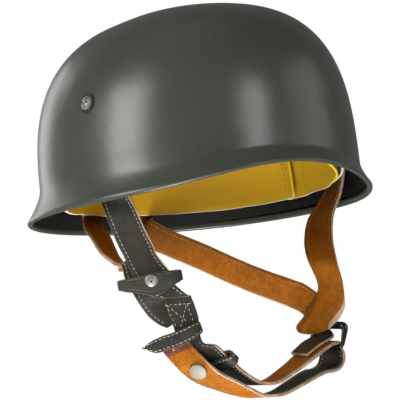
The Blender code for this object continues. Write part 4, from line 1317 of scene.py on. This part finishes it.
class HELMET_OT_liner(Operator):
    """Build the two halves of the yellow leather cap, with the seams' stitch holes"""

    bl_idname = "helmet.liner"
    bl_label = "Leather liner"

    def execute(self, context):
        finishes = [finish_named("yellow_leather"), finish_named("liner_cut_edge")]
        lap = LINER_WALL + FIT_GAP
        halves = (
            ("liner_leather_front", "liner_front", -LINER_SEAM - LINER_LAP, LINER_SEAM + LINER_LAP, 0.0),
            ("liner_leather_back", "liner_back", LINER_SEAM, 2.0 * math.pi - LINER_SEAM, lap),
        )
        for name, solid, first, last, depth in halves:
            rows = []
            for row in range(LINER_ROWS):
                ring = []
                for i in range(LINER_COLUMNS + 1):
                    angle = first + (last - first) * i / LINER_COLUMNS
                    point = liner_point(angle, (row / LINER_ROWS) ** 1.15, depth)
                    round_about = (math.sin(angle) * 5.0, math.cos(angle) * 5.0)
                    waver = noise.noise((*round_about, row * 0.06 + depth * 300.0))
                    inward = Vector((-point.x, -point.y, 0.0)).normalized()
                    lift = waver * LINER_WAVER + self.seam_lift(angle, row / LINER_ROWS, depth > 0.0)
                    ring.append(point + inward * lift + UP * waver * (LINER_EDGE_WAVER if row == 0 else 0.0))
                rows.append(ring)
            half = add_grid(name, rows, False, finishes, liner_point(0.0, 1.0, depth))
            thicken(half, LINER_WALL, 0.0, rim_finish=1)
            round_edge = half.modifiers.new("rounded edge", "BEVEL")
            round_edge.width = 0.0004
            round_edge.segments = 2
            round_edge.limit_method = "ANGLE"
            round_edge.angle_limit = math.radians(50.0)
            settle(bake(half), "yellow_leather", solid)
        lines = []
        for side in (-1.0, 1.0):
            for offset in SEAM_STITCH_TURNS:
                turn = LINER_SEAM + offset
                lines.append([self.on_back_half(side, turn, step / 40.0) for step in range(1, 30)])
        # Painted shade: dark stitches beside the back half's seam stand for the shaded stitch holes.
        add_stitches("liner_seam_stitches", lines, finish_named("seam_hole_shade_thread"), 0.0040, 0.0021, 0.0004)
        return {"FINISHED"}

    def seam_lift(self, angle, share, is_back):
        """How far a half stands inwards near its seams: the back half's edge curls up from the front half."""
        beside = abs(abs((angle + math.pi) % (2.0 * math.pi) - math.pi) - LINER_SEAM)
        if is_back:
            return SEAM_CURL * math.exp(-((beside / 0.035) ** 2)) * (1.0 - 0.5 * share)
        return -0.5 * SEAM_CURL * math.exp(-(((beside - 0.05) / 0.05) ** 2)) * (1.0 - share)

    def on_back_half(self, side, turn, share):
        """A point on the inner face of the back half, beside its seam."""
        lap = LINER_WALL + FIT_GAP
        point = liner_point(side * turn, share, lap)
        inward = Vector((-point.x, -point.y, 0.0)).normalized()
        return point + inward * (LINER_WALL / 2.0 + self.seam_lift(turn, share, True))


class HELMET_OT_band(Operator):
    """Build the pale carrier band behind the leather"""

    bl_idname = "helmet.band"
    bl_label = "Carrier band"

    def execute(self, context):
        angles = [2.0 * math.pi * i / BAND_COLUMNS for i in range(BAND_COLUMNS)]
        shares = [(row / BAND_ROWS) ** 1.4 for row in range(BAND_ROWS + 1)]
        rows = [[band_point(a, share) for a in angles] for share in shares]
        band = add_grid("carrier_band", rows, True, [finish_named("pale_band_enamel")])
        thicken(band, BAND_WALL, 0.0)
        settle(bake(band), "pale_band", "liner_band")
        return {"FINISHED"}


class HELMET_OT_bolts(Operator):
    """Turn the four spanner bolts with their dark flanges and drilled heads"""

    bl_idname = "helmet.bolts"
    bl_label = "Spanner bolts"

    def execute(self, context):
        places = (
            ("front_right", -BOLT_FRONT_ANGLE), ("front_left", BOLT_FRONT_ANGLE),
            ("rear_right", -BOLT_REAR_ANGLE), ("rear_left", BOLT_REAR_ANGLE),
        )
        base = FIT_GAP
        flange = base + BOLT_FLANGE_HEIGHT
        top = flange + BOLT_DOME_HEIGHT
        nut = -(NUT_DEPTH + FIT_GAP)
        dome = []
        for share in (0.25, 0.5, 0.7, 0.85, 0.95):
            dome.append((BOLT_DOME_RADIUS * share, top - BOLT_DOME_HEIGHT * share ** 3))
        profile = [(0.0, top), *dome, (BOLT_DOME_RADIUS, flange + BOLT_DOME_HEIGHT * 0.08)]
        profile += [
            (BOLT_DOME_RADIUS, flange - 0.0002), (BOLT_DOME_RADIUS + 0.0004, flange - 0.0002),
            (BOLT_DOME_RADIUS + 0.0006, flange), (BOLT_FLANGE_RADIUS - 0.0003, flange),
            (BOLT_FLANGE_RADIUS, flange - 0.0003), (BOLT_FLANGE_RADIUS, base), (BOLT_SHANK_RADIUS, base),
            (BOLT_SHANK_RADIUS, nut), (BOLT_NUT_RADIUS, nut), (BOLT_NUT_RADIUS, nut - BOLT_NUT_HEIGHT),
            (0.0, nut - BOLT_NUT_HEIGHT),
        ]
        kinds = [0] * 7 + [1] * 10
        finishes = [finish_named("bolt_head_steel"), finish_named("bolt_flange_steel")]
        for name, angle in places:
            seat = wall_point(angle, BOLT_HEIGHT)
            out = wall_normal(angle, BOLT_HEIGHT)
            bolt = add_turned(f"spanner_bolt_{name}", profile, seat, out, finishes, kinds)
            across = UP.cross(out).normalized()
            drills = []
            for side in (-1.0, 1.0):
                spot = seat + out * top + across * side * SPANNER_HOLE_SPACING / 2.0
                drills.append(self.drill(bolt, spot, out, finishes))
            made = bake(bolt)
            for drill in drills:
                bpy.data.objects.remove(drill, do_unlink=True)
            settle(made, "bolt_steel", f"bolt_{name}")
        return {"FINISHED"}

    def drill(self, bolt, spot, out, finishes):
        """A cutter for one spanner hole, tied to the bolt by a Boolean."""
        depth = SPANNER_HOLE_DEPTH
        profile = [(0.0, depth), (SPANNER_HOLE_RADIUS, depth), (SPANNER_HOLE_RADIUS, -depth), (0.0, -depth)]
        cutter = add_turned("spanner_hole_cutter", profile, spot, out, finishes, [1, 1, 1])
        bore = bolt.modifiers.new("hole", "BOOLEAN")
        bore.operation = "DIFFERENCE"
        bore.solver = "EXACT"
        bore.object = cutter
        return cutter


class HELMET_OT_right_yoke(Operator):
    """Cut and stitch the two legs of the wearer's right yoke"""

    bl_idname = "helmet.right_yoke"
    bl_label = "Right yoke straps"

    def execute(self, context):
        step = settings("helmet_fineness").strap_step
        board = Board(share_point(*RIGHT_BOARD))
        rows = wall_rows(-BOLT_FRONT_ANGLE, FRONT_RIGHT_DRIFT)
        rows += open_rows(FRONT_RIGHT_ROWS) + board.rows(FRONT_RIGHT_BOARD)
        front = Strap(smooth_edges(rows, step), 1.0, seed=1.0)
        settle(front.mesh("leather_front_right", strap_finishes()), "strap_leather", "strap_front_right")
        rows = wall_rows(-BOLT_REAR_ANGLE, REAR_RIGHT_DRIFT)
        rows += open_rows(REAR_RIGHT_ROWS) + board.rows(REAR_RIGHT_BOARD)
        rear = Strap(smooth_edges(rows, step), 1.0, seed=2.0)
        settle(rear.mesh("leather_rear_right", strap_finishes()), "strap_leather", "strap_rear_right")
        lines = []
        for strap, first in ((front, 0.3), (rear, 0.22)):
            lines += [strap.line(side, STITCH_INSET, 1.0, first, 0.985) for side in (-1.0, 1.0)]
        add_stitches("stitches_right_yoke", lines, finish_named("cream_thread"))
        lines = [rear.line(side, STITCH_INSET, -1.0, 0.22, 0.98) for side in (-1.0, 1.0)]
        add_stitches("stitches_right_yoke_inside", lines, finish_named("tan_thread"), radius=0.00022)
        return {"FINISHED"}


class HELMET_OT_left_yoke(Operator):
    """Cut and stitch the two legs of the wearer's left yoke"""

    bl_idname = "helmet.left_yoke"
    bl_label = "Left yoke straps"

    def execute(self, context):
        step = settings("helmet_fineness").strap_step
        board = Board(share_point(*LEFT_BOARD))
        rows = wall_rows(BOLT_FRONT_ANGLE, FRONT_LEFT_DRIFT, inward=True)
        rows += open_rows(FRONT_LEFT_ROWS) + board.rows(FRONT_LEFT_BOARD)
        front = Strap(smooth_edges(rows, step), -1.0, seed=3.0)
        settle(front.mesh("leather_front_left", strap_finishes()), "strap_leather", "strap_front_left")
        rows = wall_rows(BOLT_REAR_ANGLE, REAR_LEFT_DRIFT)
        rows += open_rows(REAR_LEFT_ROWS) + board.rows(REAR_LEFT_BOARD)
        rear = Strap(smooth_edges(rows, step), 1.0, seed=4.0)
        settle(rear.mesh("leather_rear_left", strap_finishes()), "strap_leather", "strap_rear_left")
        outside = [front.line(side, STITCH_INSET, 1.0, 0.25, 0.93) for side in (-1.0, 1.0)]
        outside += [rear.line(side, STITCH_INSET, 1.0, 0.2, 0.985) for side in (-1.0, 1.0)]
        add_stitches("stitches_left_yoke", outside, finish_named("cream_thread"))
        inside = [front.line(side, STITCH_INSET, -1.0, 0.25, 0.70) for side in (-1.0, 1.0)]
        inside += [rear.line(side, STITCH_INSET, -1.0, 0.2, 0.985) for side in (-1.0, 1.0)]
        add_stitches("stitches_left_yoke_inside", inside, finish_named("tan_thread"), radius=0.00022)
        return {"FINISHED"}


class HELMET_OT_chin_strap(Operator):
    """Cut and stitch the long chin strap, its cross stitching and its returned end"""

    bl_idname = "helmet.chin_strap"
    bl_label = "Chin strap"

    def execute(self, context):
        board = Board(share_point(*RIGHT_BOARD))
        rows, inner, outer = chin_strap_rows()
        strap = Strap(smooth_edges(rows, settings("helmet_fineness").strap_step), 1.0, seed=5.0)
        red_from = strap.total - RED_END_LENGTH
        chin = strap.mesh("leather_chin_strap", strap_finishes(), red_from=red_from)
        settle(chin, "strap_leather", "chin_strap")
        lines = [strap.line(side, STITCH_INSET, 1.0, 0.09, 0.97) for side in (-1.0, 1.0)]
        lift = STRAP_WALL / 2.0 + 0.00005
        for first, last in CROSS_STITCHING:
            start = board.point(*first, -1.0) + board.face * lift
            end = board.point(*last, -1.0) + board.face * lift
            lines.append(between(start, end))
        add_stitches("stitches_chin_strap", lines, finish_named("cream_thread"))
        lines = [strap.line(side, STITCH_INSET, -1.0, 0.09, 0.90) for side in (-1.0, 1.0)]
        add_stitches("stitches_chin_strap_inside", lines, finish_named("tan_thread"), radius=0.0002)
        return {"FINISHED"}


class HELMET_OT_keepers(Operator):
    """Sew the three leather loops that hold the straps"""

    bl_idname = "helmet.keepers"
    bl_label = "Keepers"

    def execute(self, context):
        board = Board(share_point(*RIGHT_BOARD))
        upper = add_keeper_rows(
            board.point(*KEEPER_UPPER_SPOT), board.leaning(KEEPER_UPPER_LEAN + KEEPER_UPPER_TILT), board.face,
            KEEPER_WIDTH, KEEPER_UPPER_SPAN, KEEPER_FRONT, KEEPER_BACK, lip=KEEPER_LIP,
            deepen=KEEPER_UPPER_DEEPEN, sag=KEEPER_UPPER_SAG,
        )
        lower = add_keeper_rows(
            board.point(*KEEPER_LOWER_SPOT), board.leaning(KEEPER_LOWER_LEAN + KEEPER_LOWER_TILT), board.face,
            KEEPER_WIDTH + KEEPER_WIDER, KEEPER_LOWER_SPAN, KEEPER_FRONT, KEEPER_BACK, taper=KEEPER_FLAP,
            sag=KEEPER_LOWER_SAG,
        )
        inner = chin_strap_rows()[1]
        middle, along, across, face = strap_frame(inner, KEEPER_SMALL_ROW)
        small = add_keeper_rows(
            middle, across, face, KEEPER_SMALL_WIDTH, KEEPER_SMALL_SPAN,
            KEEPER_SMALL_SNUG, -KEEPER_SMALL_SNUG,
        )
        lines = []
        for name, rows, seed in (("upper", upper, 6.0), ("lower", lower, 7.0), ("small", small, 8.0)):
            loop = Strap(rows, -1.0, closed=True, seed=seed)
            finishes = strap_finishes()
            if name == "small":
                finishes = [finishes[0]] * len(finishes)
            settle(loop.mesh(f"leather_keeper_{name}", finishes), "strap_leather", f"keeper_{name}")
            sides = {"upper": (), "lower": (-1.0, 1.0), "small": (1.0,)}[name]
            lines += [loop.line(side, KEEPER_STITCH_INSET, 1.0) for side in sides]
        add_stitches("stitches_keepers", lines, finish_named("cream_thread"))
        return {"FINISHED"}


class HELMET_OT_studs(Operator):
    """Turn the press stud and the white snap cap"""

    bl_idname = "helmet.studs"
    bl_label = "Press stud and snap cap"

    def execute(self, context):
        board = Board(share_point(*RIGHT_BOARD))
        seat = board.point(*STUD_SPOT) + board.face * (STRAP_WALL / 2.0 + FIT_GAP)
        out = board.face * math.cos(STUD_TIP) + UP * math.sin(STUD_TIP)
        self.stud("press_stud", seat, out, STUD_RADIUS, STUD_HEIGHT, "press_stud_nickel",
                  "stud_steel", "stud_upper", pit=STUD_PIT_RADIUS)
        outer = chin_strap_rows()[2]
        middle, along, across, face = strap_frame(outer, SNAP_CAP_ROW)
        out = face if face.y < 0.0 else -face
        seat = middle + out * (STRAP_WALL / 2.0 + FIT_GAP + FACET_ROOM)
        self.stud("white_snap_cap", seat, out, CAP_RADIUS, CAP_HEIGHT, "white_cap_enamel",
                  "white_cap", "snap_cap")
        return {"FINISHED"}

    def stud(self, name, seat, out, radius, height, finish, slot, solid, pit=0.0):
        """A domed cap with a rolled edge, and a dark pit in its middle where one is asked for."""
        profile = [(0.0, height)]
        if pit:
            profile = [(0.0, height - STUD_PIT_DEPTH), (pit * 0.85, height - STUD_PIT_DEPTH), (pit, height)]
        dark = len(profile) - 1
        for share in (0.25, 0.5, 0.7, 0.85, 0.94, 0.98):
            profile.append((radius * share, height * (1.0 - 0.55 * share ** 4)))
        profile += [(radius, height * 0.28), (radius * 0.985, 0.0), (0.0, 0.0)]
        finishes = [finish_named(finish), finish_named("black_wire_enamel")]
        kinds = [1] * dark + [0] * (len(profile) - 1 - dark)
        made = add_turned(name, profile, seat, out, finishes if pit else finishes[:1], kinds)
        settle(made, slot, solid)


class HELMET_OT_buckle(Operator):
    """Bend the black wire buckle and cut the leather guard behind it"""

    bl_idname = "helmet.buckle"
    bl_label = "Buckle and guard"

    def execute(self, context):
        across = direction(BAR_SWING, BAR_TIP)
        lean = direction(BUCKLE_LEAN_SWING, BUCKLE_LEAN_TIP)
        upward = (lean - across * lean.dot(across)).normalized()
        half_span = STRAP_WIDTH / 2.0 + BUCKLE_SIDE_ROOM + BUCKLE_WIRE_RADIUS
        centre = share_point(*BAR_PLACE) + upward * BUCKLE_HEIGHT / 2.0
        path = []
        for turn, side, rise in ((0, 1, 1), (90, -1, 1), (180, -1, -1), (270, 1, -1)):
            corner = centre + across * side * (half_span - BUCKLE_CORNER)
            corner = corner + upward * rise * (BUCKLE_HEIGHT / 2.0 - BUCKLE_CORNER)
            for step in range(0, 91, 10):
                bend = math.radians(turn + step)
                path.append(corner + (across * math.cos(bend) + upward * math.sin(bend)) * BUCKLE_CORNER)
        out = across.cross(upward).normalized()
        steps = WIRE_STEPS
        points = []
        count = len(path)
        for i, spot in enumerate(path):
            ahead = (path[(i + 1) % count] - path[i - 1]).normalized()
            beside = ahead.cross(out).normalized()
            height = (spot - centre).dot(upward) / (BUCKLE_HEIGHT / 2.0)
            swell = max(0.0, min(1.0, (height - 0.15) / 0.75))
            radius = BUCKLE_WIRE_RADIUS + (BUCKLE_ROLLER_RADIUS - BUCKLE_WIRE_RADIUS) * swell
            for k in range(steps):
                roll = 2.0 * math.pi * k / steps
                points.append(tuple(spot + (beside * math.cos(roll) + out * math.sin(roll)) * radius))
        faces = []
        for i in range(count):
            n = (i + 1) % count
            for k in range(steps):
                m = (k + 1) % steps
                faces.append((i * steps + k, i * steps + m, n * steps + m, n * steps + k))
        wire = add_mesh("black_wire_buckle", points, faces, [finish_named("black_wire_enamel")])
        model = bmesh.new()
        model.from_mesh(wire.data)
        bmesh.ops.recalc_face_normals(model, faces=model.faces)
        model.to_mesh(wire.data)
        model.free()
        settle(wire, "black_steel", "buckle")
        inner = chin_strap_rows()[1]
        rows = []
        for place_in_rows in range(GUARD_FIRST_ROW, len(inner) - 1):
            face = strap_frame(inner, place_in_rows)[3]
            far = inner[place_in_rows][0] - face * GUARD_LIFT
            near = inner[place_in_rows][1] - face * GUARD_LIFT
            rows.append((far, far.lerp(near, GUARD_SHARE)))
        for row in GUARD_TOP_ROWS:
            rows.append(edges_at(share_point(*row[:3]), direction(*row[3:]), STRAP_WIDTH * GUARD_SHARE))
        guard = Strap(smooth_edges(rows, settings("helmet_fineness").strap_step), -1.0, seed=9.0)
        settle(guard.mesh("leather_buckle_guard", strap_finishes()), "strap_leather", "buckle_guard")
        return {"FINISHED"}


class HELMET_OT_stage(Operator):
    """Lay the pale floor, hang the soft lights and set the camera"""

    bl_idname = "helmet.stage"
    bl_label = "Stage"

    def execute(self, context):
        stage = settings("helmet_stage")
        size = 4.0
        corners = [(-size, -size), (size, -size), (size, size), (-size, size)]
        points = [(x, y, stage.floor_level) for x, y in corners]
        finish, tree, shader, spot = new_finish("pale_floor", (0.80, 0.80, 0.79), 0.85)
        cloud = speckle(tree, spot, 3.0)
        toned = blend(tree, cloud, (0.78, 0.78, 0.77), (0.82, 0.82, 0.81))
        tree.links.new(toned, shader.inputs["Base Color"])
        rays = node(tree, "ShaderNodeLightPath")
        seen = node(tree, "ShaderNodeMapRange", {"Value": rays.outputs["Is Camera Ray"], "To Max": 0.62})
        shader.inputs["Emission Color"].default_value = (1.0, 1.0, 1.0, 1.0)
        tree.links.new(seen.outputs[0], shader.inputs["Emission Strength"])
        floor = add_mesh("pale_floor", points, [(0, 1, 2, 3)], [finish])
        for light in SOFT_LIGHTS:
            self.light(*light)
        self.world()
        self.camera(stage)
        context.scene.view_settings.view_transform = "Standard"
        return {"FINISHED"}

    def light(self, name, aim, distance, size, power):
        """A rectangular soft light that looks at the helmet's middle."""
        lamp = bpy.data.lights.new(name, "AREA")
        lamp.shape = "RECTANGLE"
        lamp.size, lamp.size_y = size
        lamp.energy = power
        item = bpy.data.objects.new(name, lamp)
        out = direction(*aim)
        target = place(0.0, 0.0, 0.03)
        item.location = target + out * distance
        item.rotation_mode = "QUATERNION"
        item.rotation_quaternion = out.to_track_quat("Z", "Y")
        bpy.context.scene.collection.objects.link(item)

    def world(self):
        """White where the camera looks past the helmet, and dimmer as light."""
        world = bpy.data.worlds.new("studio")
        world.use_nodes = True
        tree = world.node_tree
        back = tree.nodes["Background"]
        back.inputs["Color"].default_value = (1.0, 1.0, 1.0, 1.0)
        rays = node(tree, "ShaderNodeLightPath")
        seen = rays.outputs["Is Camera Ray"]
        power = node(tree, "ShaderNodeMapRange", {"Value": seen, "To Min": 0.19, "To Max": 1.0})
        tree.links.new(power.outputs[0], back.inputs["Strength"])
        bpy.context.scene.world = world

    def camera(self, stage):
        """The camera at the photograph's angle."""
        swing = stage.camera_swing
        tip = stage.camera_tip
        roll = stage.camera_roll
        back = Vector((math.sin(swing) * math.cos(tip), -math.cos(swing) * math.cos(tip), math.sin(tip)))
        right = Vector((math.cos(swing), math.sin(swing), 0.0))
        up = back.cross(right)
        across = right * math.cos(roll) - up * math.sin(roll)
        rise = right * math.sin(roll) + up * math.cos(roll)
        eye = place(0.0, 0.0, 0.0) + back * stage.camera_distance
        view = bpy.data.cameras.new("photo_camera")
        view.sensor_width = 36.0
        view.lens = stage.lens
        view.shift_x = stage.shift_x
        view.shift_y = stage.shift_y
        view.clip_end = 20.0
        item = bpy.data.objects.new("photo_camera", view)
        item.matrix_world = Matrix((
            (across.x, rise.x, back.x, eye.x),
            (across.y, rise.y, back.y, eye.y),
            (across.z, rise.z, back.z, eye.z),
            (0.0, 0.0, 0.0, 1.0),
        ))
        bpy.context.scene.collection.objects.link(item)
        bpy.context.scene.camera = item


GROUPS = (
    ("helmet_paint", HelmetPaintSettings),
    ("helmet_leather", HelmetLeatherSettings),
    ("helmet_fineness", HelmetFinenessSettings),
    ("helmet_stage", HelmetStageSettings),
)
OPERATORS = (
    HELMET_OT_finishes,
    HELMET_OT_stage,
    HELMET_OT_shell,
    HELMET_OT_liner,
    HELMET_OT_band,
    HELMET_OT_bolts,
    HELMET_OT_right_yoke,
    HELMET_OT_left_yoke,
    HELMET_OT_chin_strap,
    HELMET_OT_keepers,
    HELMET_OT_studs,
    HELMET_OT_buckle,
)


class HELMET_PT_sidebar(Panel):
    """Lists the helmet's settings and pieces."""

    bl_label = "Paratrooper helmet"
    bl_idname = "HELMET_PT_sidebar"
    bl_space_type = "VIEW_3D"
    bl_region_type = "UI"
    bl_category = "Helmet"

    def draw(self, context):
        for name, group in GROUPS:
            box = self.layout.box()
            values = getattr(context.scene, name)
            for key in group.__annotations__:
                box.prop(values, key)
        for operator in OPERATORS:
            self.layout.operator(operator.bl_idname)


def register():
    """Registers the settings, the pieces' operators and the sidebar panel."""
    for name, group in GROUPS:
        bpy.utils.register_class(group)
        setattr(bpy.types.Scene, name, PointerProperty(type=group))
    for operator in OPERATORS:
        bpy.utils.register_class(operator)
    bpy.utils.register_class(HELMET_PT_sidebar)


def unregister():
    """Takes back what register added."""
    bpy.utils.unregister_class(HELMET_PT_sidebar)
    for operator in reversed(OPERATORS):
        bpy.utils.unregister_class(operator)
    for name, group in reversed(GROUPS):
        delattr(bpy.types.Scene, name)
        bpy.utils.unregister_class(group)


def main():
    """Builds every piece in order."""
    register()
    for operator in OPERATORS:
        group, name = operator.bl_idname.split(".")
        getattr(getattr(bpy.ops, group), name)()


if __name__ == "__main__":
    main()
